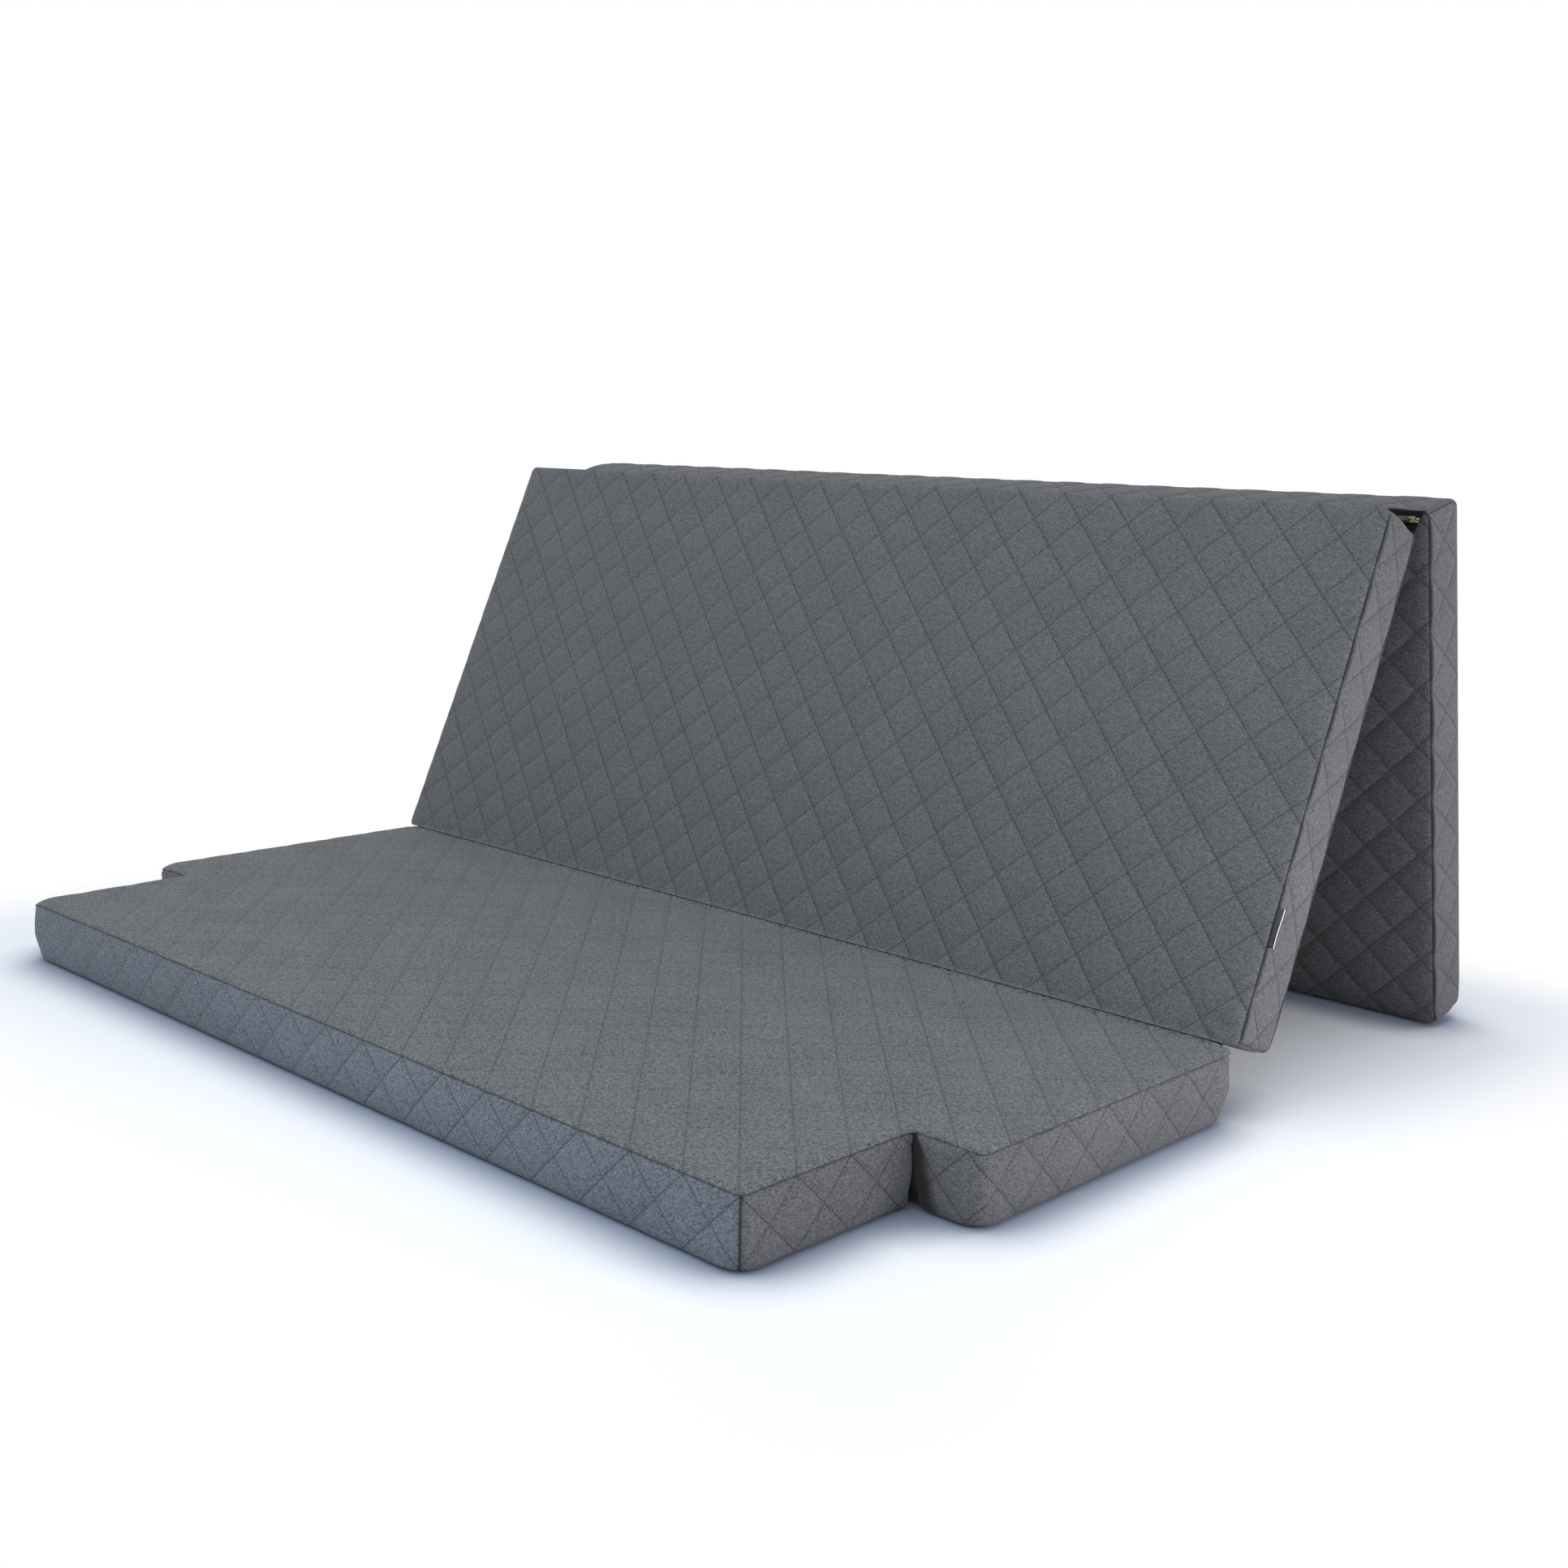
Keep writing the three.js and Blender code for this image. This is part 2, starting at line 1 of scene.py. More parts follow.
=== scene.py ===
# %% [markdown]
# # A folding mattress, set up as a seat
#
# The real thing is three slabs of foam. Each slab is zipped into its own quilted cover,
# and the covers are sewn to each other along two folds. Here the first slab lies flat as
# the seat, the second leans back as the backrest, and the third props it up from behind.
#
# The solids of the three slabs are already made and already move on their folds. This
# script dresses them: it makes the quilted cloth, the seams, the zip and the light.
# It starts by loading those solids as a fixed frame, and keeps the size of their box.

# %% The fixed frame
import json

import bpy
import numpy as np
from mathutils import Matrix, Vector
from mathutils.geometry import tessellate_polygon


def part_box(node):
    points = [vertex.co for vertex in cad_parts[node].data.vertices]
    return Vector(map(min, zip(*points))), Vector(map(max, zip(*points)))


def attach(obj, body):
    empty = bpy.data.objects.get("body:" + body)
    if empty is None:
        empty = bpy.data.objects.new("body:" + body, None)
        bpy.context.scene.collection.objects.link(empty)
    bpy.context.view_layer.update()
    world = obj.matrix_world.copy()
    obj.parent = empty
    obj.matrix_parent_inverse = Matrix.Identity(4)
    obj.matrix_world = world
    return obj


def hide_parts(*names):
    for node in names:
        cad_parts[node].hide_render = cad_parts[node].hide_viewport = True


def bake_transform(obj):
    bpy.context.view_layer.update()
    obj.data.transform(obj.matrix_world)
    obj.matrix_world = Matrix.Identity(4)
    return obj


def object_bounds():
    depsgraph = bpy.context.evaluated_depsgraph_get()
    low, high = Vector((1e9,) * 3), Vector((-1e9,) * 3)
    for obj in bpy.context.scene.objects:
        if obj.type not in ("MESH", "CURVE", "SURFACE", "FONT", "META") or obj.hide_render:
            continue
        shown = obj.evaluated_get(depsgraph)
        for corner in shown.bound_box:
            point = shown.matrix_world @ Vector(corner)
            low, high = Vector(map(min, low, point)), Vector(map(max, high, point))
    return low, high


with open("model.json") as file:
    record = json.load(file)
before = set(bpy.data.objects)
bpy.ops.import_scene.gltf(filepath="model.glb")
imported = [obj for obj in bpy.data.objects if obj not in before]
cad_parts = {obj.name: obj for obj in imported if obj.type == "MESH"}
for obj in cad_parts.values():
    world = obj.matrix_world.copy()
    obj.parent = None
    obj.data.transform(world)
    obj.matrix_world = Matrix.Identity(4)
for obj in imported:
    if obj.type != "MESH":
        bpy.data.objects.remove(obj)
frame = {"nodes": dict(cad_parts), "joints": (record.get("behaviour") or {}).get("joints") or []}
cad_low, cad_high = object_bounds()
nodes = frame["nodes"]
print("box of the solids, mm:", *np.round([*cad_low, *cad_high], 4) * 1000)

# %% [markdown]
# ## Sizes
#
# Every length is in metres, so a size in millimetres is written as a number times MM.
# A slab's own space has X across the mattress, Y along the slab and Z through it, from
# its underside at 0 to its sleeping face. The seat's space is the world's own, moved.
# The other two are turned about X by the angles that the folds' limits give: each
# fold's limit is how far its slab would have to turn to lie flat.
#
# A slab's start is how far along it the first crossing of its stitch lines lies.

# %% Driving sizes
MM = 0.001
WIDTH = 1500 * MM
FRONT_WIDTH = 1334 * MM
FRONT_DEPTH = 225 * MM
SEAT_LENGTH = 652 * MM
BACK_LENGTH = 617 * MM
REAR_LENGTH = 655 * MM
THICKNESS = 82 * MM
COVER = 6 * MM
CROWN = 1.5 * MM
FOLD_GAP = 2 * MM
FOLD_RISE = 0.5 * MM
ZIP_WIDTH = 29 * MM
HEM_REACH = 3 * MM
CORNER_RADIUS = 9 * MM
LOW_RADIUS = 30 * MM
FOAM_RADIUS = 34 * MM
FOLD_OVERHANG = 1.8 * MM
SEAM_LOW = 6 * MM
SEAM_HIGH = THICKNESS - SEAM_LOW
PITCH = 70 * MM

# %% Places of the three slabs
FOLD_HEIGHT = CROWN + FOLD_RISE
joints = {joint["name"]: joint for joint in frame["joints"]}
back_turn = -np.radians(joints["seat_fold"]["range_deg"][0])
rear_turn = back_turn - np.radians(joints["top_fold"]["range_deg"][1])
seat_line = np.array(joints["seat_fold"]["pos_m"])
top_line = np.array(joints["top_fold"]["pos_m"])


def turned(angle):
    """Rows are a slab's X, Y and Z directions after a turn about the world's X."""
    c, s = np.cos(angle), np.sin(angle)
    return np.array([[1, 0, 0], [0, c, s], [0, -s, c]])


def space(turn, line, start, height):
    """A slab's directions and origin: it hangs on a fold's line, which lies start behind
    its first end and height over its underside."""
    axes = turned(turn)
    return axes, line - axes[1] * start - axes[2] * height


def to_world(place, points):
    """World place = origin + x * X + y * Y + z * Z, for all points at once."""
    axes, origin = place
    return points @ axes + origin


face_line = THICKNESS + FOLD_HEIGHT
seat = dict(
    name="seat", body="seat", half=WIDTH / 2, length=SEAT_LENGTH, start=0,
    front_half=FRONT_WIDTH / 2, step=FRONT_DEPTH,
    place=space(0, seat_line, SEAT_LENGTH + FOLD_GAP, face_line),
)
back = dict(
    name="back", body="back", half=WIDTH / 2, length=BACK_LENGTH, start=53 * MM,
    place=space(back_turn, seat_line, -FOLD_GAP, face_line),
)
rear = dict(
    name="rear", body="rear", half=WIDTH / 2, length=REAR_LENGTH, start=3 * MM,
    place=space(rear_turn, top_line, -HEM_REACH, -FOLD_HEIGHT),
)
for slab in (seat, back, rear):
    corners = np.array([[x, y, z] for x in (-slab["half"], slab["half"])
                        for y in (0, slab["length"]) for z in (0, THICKNESS)])
    corners = to_world(slab["place"], corners) / MM
    boxes = np.array([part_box(name) for name in nodes if name.startswith(slab["name"] + "_")]) / MM
    print(slab["name"], "slab, mm:", corners.min(0).round(1), corners.max(0).round(1))
    print("its solids, mm:", boxes[:, 0].min(0).round(1), boxes[:, 1].max(0).round(1))

# %% [markdown]
# ## Putting arrays into meshes
#
# Every surface below is a whole array of points and a whole array of triangles. One
# helper turns them into an object. It also works out the volume that the triangles
# close, from the sum of a . (b x c) / 6, and turns them round if that comes out
# negative, so that faces always point outwards.
#
# Two things travel with each point for the materials. The UV map named cloth holds the
# place on the cloth in metres, so a weave keeps its scale. The vector named quilt holds
# the count of stitch lines in the two slanting directions, and then the distance from
# the nearest seam. A stitch line is wherever one of the counts is a whole number, and
# shade is painted on the cloth where the distance is small, for the shadow in the seam.

# %% Helpers for meshes
def put_mesh(name, points, faces, uv=None, quilt=None):
    """A closed smooth mesh object at the origin, from (n, 3) points and (m, 3) triangles."""
    a, b, c = (points[faces[:, k]] - points[0] for k in range(3))
    volume = np.einsum("ij,ij->i", a, np.cross(b, c)).sum() / 6
    if volume < 0:
        faces = faces[:, ::-1]
    mesh = bpy.data.meshes.new(name)
    mesh.from_pydata(points.tolist(), [], faces.tolist())
    mesh.shade_smooth()
    if uv is not None:
        layer = mesh.uv_layers.new(name="cloth")
        layer.data.foreach_set("uv", uv[faces.ravel()].astype(np.float32).ravel())
    if quilt is not None:
        attribute = mesh.attributes.new("quilt", "FLOAT_VECTOR", "POINT")
        attribute.data.foreach_set("vector", quilt.astype(np.float32).ravel())
    piece = bpy.data.objects.new(name, mesh)
    bpy.context.scene.collection.objects.link(piece)
    print(f"{name}: {len(faces)} triangles, {abs(volume) * 1e6:.1f} cm3")
    return piece


def grid_faces(index, falling=None):
    """Two triangles for each cell of a grid of point numbers; a cell marked falling is
    split along its other diagonal. The result keeps the grid's shape."""
    a, b, c, d = index[:-1, :-1], index[1:, :-1], index[1:, 1:], index[:-1, 1:]
    rising = np.stack([a, b, c, a, c, d], -1)
    if falling is None:
        return rising
    return np.where(falling[..., None], np.stack([a, b, d, b, c, d], -1), rising)


def tube_faces(index):
    """Triangles of a tube: each row of point numbers is a ring, which closes on itself."""
    return grid_faces(np.concatenate([index, index[:, :1]], 1)).reshape(-1, 3)


def cap(points, loop, facing):
    """Triangles that fill a flat closed loop of point numbers, all facing one way."""
    filled = np.array(tessellate_polygon([[Vector(p) for p in points[loop]]]))
    filled = loop[filled]
    a, b, c = points[filled[:, 0]], points[filled[:, 1]], points[filled[:, 2]]
    away = np.cross(b - a, c - a) @ np.asarray(facing) < 0
    filled[away] = filled[away][:, ::-1]
    return filled


# %% [markdown]
# ## The plan of a slab
#
# Seen from above, a slab is a rectangle with rounded corners. The seat also has its two
# front corners cut away, which leaves two hollow corners. The covers need a grid that
# fits this plan, with its lines on the stitching, and close lines along each soft edge
# where the cloth rolls over.
#
# A rounded corner could be cut out of the grid, but that leaves teeth. Instead each
# corner's square of grid is squeezed into a quarter disc: a point keeps its direction
# from the square's inner corner, and its distance becomes the larger of its two
# coordinates, so the square's outer sides land on the arc.

# %% Grid lines of a plan
EDGE_REACH = 14 * MM
EDGE_LINES = 8
GRID = PITCH / 20
roll = 1 - np.cos(np.linspace(0, np.pi / 2, EDGE_LINES))


def plan_corners(slab):
    """The outline's corners, anticlockwise, from the first end's left."""
    half, length = slab["half"], slab["length"]
    if "step" not in slab:
        return np.array([(-half, 0), (half, 0), (half, length), (-half, length)])
    near, step = slab["front_half"], slab["step"]
    return np.array([(-near, 0), (near, 0), (near, step), (half, step),
                     (half, length), (-half, length), (-half, step), (-near, step)])


def lines(low, high, origin, edges):
    """Grid lines from low to high, every GRID from the origin, with each soft edge's
    finer lines in place of them. An edge is where it is, and its signed reach inwards."""
    first, last = np.ceil((low - origin) / GRID), np.floor((high - origin) / GRID)
    at = origin + GRID * np.arange(first, last + 1)
    for edge, reach in edges:
        fine = edge + reach * roll
        clear = (at < fine.min() - GRID / 3) | (at > fine.max() + GRID / 3)
        at = np.concatenate([at[clear], fine])
    return np.unique(at.round(7))


# %% Corners and edges of a plan
def rounded(slab, x, y):
    """Grid places moved so that the outer corners become quarter discs."""
    x, y = x.copy(), y.copy()
    corners, radius = plan_corners(slab), slab["radius"]
    before, after = np.roll(corners, 1, 0) - corners, np.roll(corners, -1, 0) - corners
    for (cx, cy), inward in zip(corners, np.sign(before + after)):
        u, v = radius - (x - cx) * inward[0], radius - (y - cy) * inward[1]
        zone = (u > 0) & (v > 0) & (u <= radius + MM) & (v <= radius + MM)
        shrink = np.maximum(u[zone], v[zone]) / np.hypot(u[zone], v[zone])
        x[zone] = cx + inward[0] * (radius - u[zone] * shrink)
        y[zone] = cy + inward[1] * (radius - v[zone] * shrink)
    return x, y


def inset(slab, x, y):
    """Distance in from the outline. The hollow corners use the straight distance to the
    corner. An end that lies in a fold counts faster, because its edge is tighter."""
    ahead, behind = y * slab["first_edge"], (slab["length"] - y) * slab["last_edge"]
    far = np.minimum(np.minimum(slab["half"] - abs(x), ahead), behind)
    if "step" in slab:
        out = np.maximum(slab["front_half"] - abs(x), 0)
        far = np.minimum(far, np.hypot(out, np.maximum(y - slab["step"], 0)))
    return np.maximum(far, 0)


# %% [markdown]
# ## Slack corners, worn edges and seams
#
# No two edges of the real mattress are quite alike. At the seat's left front corners the
# cloth is slack and sinks, and the slabs' feet are worn round where they press on
# something. Both are made on the finished points: a point moves by a share of the most,
# (1 - distance / reach)^2, which is 1 at the corner or the edge and 0 a reach away. Foam,
# covers and bands are all moved alike, so nothing comes apart.
#
# Each slab also keeps a few lengths that say how its seams look:
# - radius rounds the corners of its plan, and first_edge and last_edge are how many times
#   tighter than a free edge its two ends are
# - end_curl is the radius at which a band rolls into the seam at its end, and hole the
#   depth of the small pit at the top of that seam
# - flush is 1 where the bands stand level with the covers, without a step at the seam
# - top_seam, low_seam and end_seam are added to the distance from that seam, which sets the
#   shade painted along it: the more, the fainter that painted shade, and below zero it is
#   painted dark

# %% Slack corners and worn edges
SLUMP_REACH = 32 * MM
SLUMP_IN = 2.5 * MM
SLUMP_DOWN = 6 * MM
WORN_REACH = 45 * MM
WORN_IN = 5 * MM


def slumped(slab, points):
    """Points moved where the cloth is slack: in and down at a corner of the plan, and in
    from both sides at an end's edge, by (1 - distance / reach)^2 of the most."""
    points = points.copy()
    for corner in slab["slack_corners"]:
        near = np.clip(1 - np.linalg.norm(points[:, :2] - corner, axis=1) / SLUMP_REACH, 0, 1) ** 2
        near = near * points[:, 2] / THICKNESS
        points[:, :2] -= near[:, None] * SLUMP_IN * np.array([np.sign(corner[0]), -1])
        points[:, 2] -= near * SLUMP_DOWN
    for edge in slab["worn_edges"]:
        inward = np.where(np.array(edge) == 0, 1, -1)
        near = np.clip(1 - np.linalg.norm(points[:, 1:] - edge, axis=1) / WORN_REACH, 0, 1) ** 2
        points[:, 1:] += near[:, None] * WORN_IN * inward
    return points


# %% How each slab's edges look
FOLD_EDGE_REACH = 6 * MM
FAINT = 2.4 * MM
tighter = EDGE_REACH / FOLD_EDGE_REACH
# The seam values set how dark the shade painted along each seam is; FAINT makes it faint.
for slab in (seat, back, rear):
    slab.update(radius=CORNER_RADIUS, first_edge=1, last_edge=1)
    slab.update(end_curl=4 * MM, hole=2.5 * MM, flush=0)
    slab.update(top_seam=0.9 * MM, low_seam=FAINT, end_seam=0, slack_corners=[], worn_edges=[])
seat.update(last_edge=tighter)
seat.update(slack_corners=[(-FRONT_WIDTH / 2, 0), (-WIDTH / 2, FRONT_DEPTH)])
back.update(first_edge=tighter, end_curl=2 * MM, worn_edges=[(0, 0)])
back.update(top_seam=-4 * MM, end_seam=FAINT)
rear.update(end_curl=1.5 * MM, hole=0, flush=1, worn_edges=[(REAR_LENGTH, 0), (REAR_LENGTH, THICKNESS)])
rear.update(top_seam=FAINT, low_seam=-5 * MM, end_seam=FAINT)

seat_top = dict(seat, length=SEAT_LENGTH + FOLD_OVERHANG, fold_end=SEAT_LENGTH + FOLD_OVERHANG)
back_top = dict(
    back, length=BACK_LENGTH + FOLD_OVERHANG, start=back["start"] + FOLD_OVERHANG, fold_end=0,
    place=(back["place"][0], back["place"][1] - back["place"][0][1] * FOLD_OVERHANG),
)
print(f"covers overhang the fold by {FOLD_OVERHANG / MM} mm")
print(f"their edges there are {tighter:.2f} times tighter")

# %% [markdown]
# ## Quilting
#
# The cover is cloth, wadding and lining, stitched through in a diamond grid. Each diamond
# swells between its stitch lines like a tiny cushion. Its height could come from a cloth
# simulation, but over a thousand diamonds with the same stitching that is slow, and a
# formula gives the same shape: with a and b as the two slanting coordinates, from -1 to
# 1 across the diamond, the height is (1 - |a|^4) (1 - second |b|^4). That is domed in the
# middle and meets its neighbours in a crisp valley.
#
# Second is 1 where both directions of stitching are pulled equally tight. Where people
# sit and lean, one direction shows less, so second is smaller there, and the seat's
# diamonds are flatter altogether.
#
# A worn cover is never quite even, so a sum of a few long seeded waves sinks it a little
# here and there, and a crease is pressed in at the backrest's foot.

# %% Quilted height
QUILT_PUFF = 2.7 * MM
SEAT_PUFF = 1.5 * MM
VALLEY = 79.3 * MM
SWELL_POWER = 4
SEAT_SECOND = 0.5
BACK_SECOND = 0.65


def stitch_counts(slab, x, y):
    """How many stitch lines a place lies past, in the two slanting directions."""
    along = y - slab["start"]
    return (x + along) / PITCH - 0.5, (x - along) / PITCH - 0.5


def swell(s, t, second=1.0):
    """Share of a diamond's full height: (1 - |a|^p) (1 - second |b|^p)."""
    a, b = 2 * (s - np.floor(s)) - 1, 2 * (t - np.floor(t)) - 1
    return (1 - abs(a) ** SWELL_POWER) * (1 - second * abs(b) ** SWELL_POWER)


def falling_cells(s, t):
    """Which cells of a grid to split along their falling diagonal: those whose middle is
    nearer to a stitch line of the first direction. So the triangles follow the stitching."""
    middle_s, middle_t = (s[:-1, :-1] + s[1:, 1:]) / 2, (t[:-1, :-1] + t[1:, 1:]) / 2
    return abs(middle_s - middle_s.round()) < abs(middle_t - middle_t.round())


# %% Wear
SAG = 0.45 * MM
WAVES = 6
SHORT_WAVE = 120 * MM
LONG_WAVE = 500 * MM
CREASE_MIDDLE = (722 * MM, 21 * MM)
CREASE_ANGLE = np.radians(-22)
CREASE_LENGTH = 22 * MM
CREASE_WIDTH = 7 * MM
CREASE_DEPTH = 2.2 * MM


def unevenness(x, y, seed):
    """A sum of six long waves in random directions, from -1 to 1."""
    random = np.random.default_rng(seed)
    total = np.zeros_like(x)
    for _ in range(WAVES):
        turn, length, shift = random.uniform([0, SHORT_WAVE, 0], [2 * np.pi, LONG_WAVE, 2 * np.pi])
        total += np.sin((x * np.cos(turn) + y * np.sin(turn)) * 2 * np.pi / length + shift)
    return total / WAVES


def crease(x, y):
    """A pressed-in line: exp(-(along / length)^2 - (across / width)^2)."""
    c, s = np.cos(CREASE_ANGLE), np.sin(CREASE_ANGLE)
    dx, dy = x - CREASE_MIDDLE[0], y - CREASE_MIDDLE[1]
    along, across = dx * c + dy * s, dy * c - dx * s
    return np.exp(-(along / CREASE_LENGTH) ** 2 - (across / CREASE_WIDTH) ** 2)


# %% [markdown]
# ## Covers
#
# A cover's face is a height over the plan grid. In from the outline the height rises
# along a quarter ellipse, and then follows the crown of the foam and the quilting. At
# the outline three more rows roll under and tuck the cloth into the seam, and a flat
# fill closes the piece against the foam. The underside's cover is the same shape
# turned over.
#
# What differs from cover to cover is a form: the heights of its rim, of the seam and of
# the stitched valleys, and how much it crowns, puffs and sags. The seat's under cover is
# pressed flat by the slab's weight. Toward a fold the rim stands higher, because the two
# slabs push the cloth up there.

# %% Forms of a cover
PUFFED = dict(
    rim=77.4 * MM, seam=76 * MM, valley=VALLEY, crown=CROWN, puff=QUILT_PUFF, sag=SAG, second=1,
)
SAT_ON = dict(PUFFED, puff=SEAT_PUFF, second=SEAT_SECOND)
LEANED_ON = dict(PUFFED, second=BACK_SECOND)
PRESSED = dict(PUFFED, rim=77.8 * MM, seam=76.4 * MM, valley=81.6 * MM, crown=0, puff=0, sag=0)
FOLD_RIM = 5.8 * MM
FOLD_RIM_REACH = 12 * MM


def cover_height(slab, name, x, y, s, t, far, form, seed):
    """Height of a cover's face: a quarter ellipse in from the outline, up to the
    stitched valleys, plus crown, quilting and unevenness."""
    across, along = 1 - (x / slab["half"]) ** 2, 1 - (2 * y / slab["length"] - 1) ** 2
    full = np.maximum(across, 0) * np.maximum(along, 0)
    ease = 1 - np.minimum(far / EDGE_REACH, 1)
    rise = np.sqrt(1 - ease**2)
    face = form["valley"] + form["crown"] * full + form["puff"] * swell(s, t, form["second"])
    face -= form["sag"] * (1 + unevenness(x, y, seed))
    if name == "back_sleep_cover":
        face -= CREASE_DEPTH * crease(x, y)
    rim = form["rim"]
    if "fold_end" in slab:
        side = np.minimum(slab["half"] - abs(x), 2 * FOLD_RIM_REACH) / (2 * FOLD_RIM_REACH)
        rim = rim + FOLD_RIM * np.exp(-(((y - slab["fold_end"]) / FOLD_RIM_REACH) ** 2)) * side
    return rim + (face - rim) * rise


# %% Grid and outer loop of a cover
COVER_PALER = 1.0 * MM


def cover_grid(slab):
    """The grid's lines across and along the plan, close together at its soft edges."""
    half, length = slab["half"], slab["length"]
    x_edges = [(-half, EDGE_REACH), (half, -EDGE_REACH)]
    y_edges = [(0, EDGE_REACH / slab["first_edge"]), (length, -EDGE_REACH / slab["last_edge"])]
    if "step" in slab:
        near = slab["front_half"]
        x_edges += [(-near, EDGE_REACH), (near, -EDGE_REACH)]
        y_edges += [(slab["step"], EDGE_REACH)]
    return lines(-half, half, 0, x_edges), lines(0, length, slab["start"], y_edges)


def cover_paleness(slab, x, y, underside):
    """What is added to the distance from the seam, to weaken the shade painted along it:
    FAINT where the seam hardly shows, at the cut-aways, at the slack left corner and in the fold."""
    seam = slab["low_seam"] if underside else slab["top_seam"]
    paler = np.full_like(x, COVER_PALER + max(seam, 0))
    if "step" in slab:
        at_step = (abs(x) > slab["front_half"]) & (y < slab["step"] + EDGE_REACH)
        at_corner = (x < EDGE_REACH - slab["front_half"]) & (y < EDGE_REACH)
        paler[at_step | at_corner] = FAINT
    if "fold_end" in slab:
        paler[abs(y - slab["fold_end"]) < EDGE_REACH] = FAINT
    return paler


def outer_loop(slab, xs, ys, index):
    """Point numbers along the plan's outline, anticlockwise, from corner to corner."""
    corners = plan_corners(slab)
    column = abs(xs - corners[:, :1]).argmin(1)
    row = abs(ys - corners[:, 1:]).argmin(1)
    runs = []
    for i0, i1, j0, j1 in zip(column, np.roll(column, -1), row, np.roll(row, -1)):
        step = np.arange(max(abs(i1 - i0), abs(j1 - j0)))
        runs.append(index[i0 + np.sign(i1 - i0) * step, j0 + np.sign(j1 - j0) * step])
    return np.concatenate(runs)


# %% Cover maker
TUCK_IN = np.array([0.25, 1.0, 2.4]) * MM
TUCK_DOWN = np.array([0.43, 0.82, 1.0])
FLUSH_TUCK = 0.4
NO_STITCH = 0.5


def tucked_under(points, faces, loop, seam, share):
    """Adds three rows along the loop, each further in by a share of TUCK_IN and further
    down to the seam, and a flat fill that closes the last one."""
    edge = points[loop]
    tangent = np.roll(edge, -1, 0) - np.roll(edge, 1, 0)
    outward = np.stack([tangent[:, 1], -tangent[:, 0]], -1)
    outward /= np.linalg.norm(outward, axis=1, keepdims=True)
    ring = loop
    for inwards, down in zip(TUCK_IN, TUCK_DOWN):
        tucked = edge.copy()
        tucked[:, :2] -= outward * inwards * share[:, None]
        tucked[:, 2] += (seam - edge[:, 2]) * down
        below = len(points) + np.arange(len(loop))
        wrap = np.stack([np.append(below, below[0]), np.append(ring, ring[0])])
        faces = np.concatenate([faces, grid_faces(wrap).reshape(-1, 3)])
        points = np.concatenate([points, tucked])
        ring = below
    return points, np.concatenate([faces, cap(points, ring, (0, 0, -1))])


def make_cover(slab, name, underside=False, form=PUFFED, seed=1):
    """A closed quilted cover on one face of a slab."""
    xs, ys = cover_grid(slab)
    x, y = np.meshgrid(xs, ys, indexing="ij")
    far = inset(slab, x, y)
    x, y = rounded(slab, x, y)
    s, t = stitch_counts(slab, x, y)
    z = cover_height(slab, name, x, y, s, t, far, form, seed)
    paler = cover_paleness(slab, x, y, underside)

    index = np.arange(x.size).reshape(x.shape)
    faces = grid_faces(index, falling_cells(s, t))
    if "step" in slab:
        cell_x, cell_y = (xs[1:] + xs[:-1]) / 2, (ys[1:] + ys[:-1]) / 2
        gone = (abs(cell_x)[:, None] > slab["front_half"]) & (cell_y[None] < slab["step"])
        faces = faces[~gone]
    loop = outer_loop(slab, xs, ys, index)
    share = np.where(paler.ravel()[loop] == FAINT, FLUSH_TUCK, 1)
    points = np.stack([x, y, z], -1).reshape(-1, 3)
    points, faces = tucked_under(points, faces.reshape(-1, 3), loop, form["seam"], share)

    source = np.concatenate([np.arange(x.size)] + [loop] * len(TUCK_IN))
    quilt = np.stack([s.ravel(), t.ravel(), (far + paler).ravel()], -1)[source]
    # The tucked rows lie below the seam, so the shade painted there grows darker.
    quilt[x.size:, 2] -= np.repeat(TUCK_IN, len(loop))
    if form["puff"] == 0:
        quilt[:, :2] = NO_STITCH
    used = np.zeros(len(points), bool)
    used[faces] = True
    number = np.cumsum(used) - 1
    points, quilt, faces = points[used], quilt[used], number[faces]
    uv = points[:, :2].copy()
    if underside:
        points[:, 2] = THICKNESS - points[:, 2]
    points = slumped(slab, points)
    piece = put_mesh(name + "_quilt", to_world(slab["place"], points), faces, uv, quilt)
    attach(piece, slab["body"])
    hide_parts(name)
    return piece


# %% [markdown]
# ## Side bands
#
# Each slab's sides are strips of the same quilting, sewn to both covers and to each
# other at the corners. A band is a section carried along the outline. The section's
# outer side rolls into the seams with a small radius; the seat's lower side rolls right
# under, so that no seam shows above the floor. Its inner side lies flat on the foam.
#
# The outline is a run of straight lines and arcs. Its points are worked out by their
# length along the band, so that the zigzag stitching keeps its pitch round the corners,
# as it does on the real band. At the seat's hollow corners the band is pressed in, and
# a little of its length is lost in the crease.
#
# The seat's lower edge turns its corners in wider arcs than the upper one, as a soft
# slab does that stands on the floor. So each place has a partner on a second outline
# with the wider radius, and a band's rows pass from one to the other on their way down.

# %% Outline as a path
ARC_STEPS = 12
SEAM_GAP = 0.15 * MM


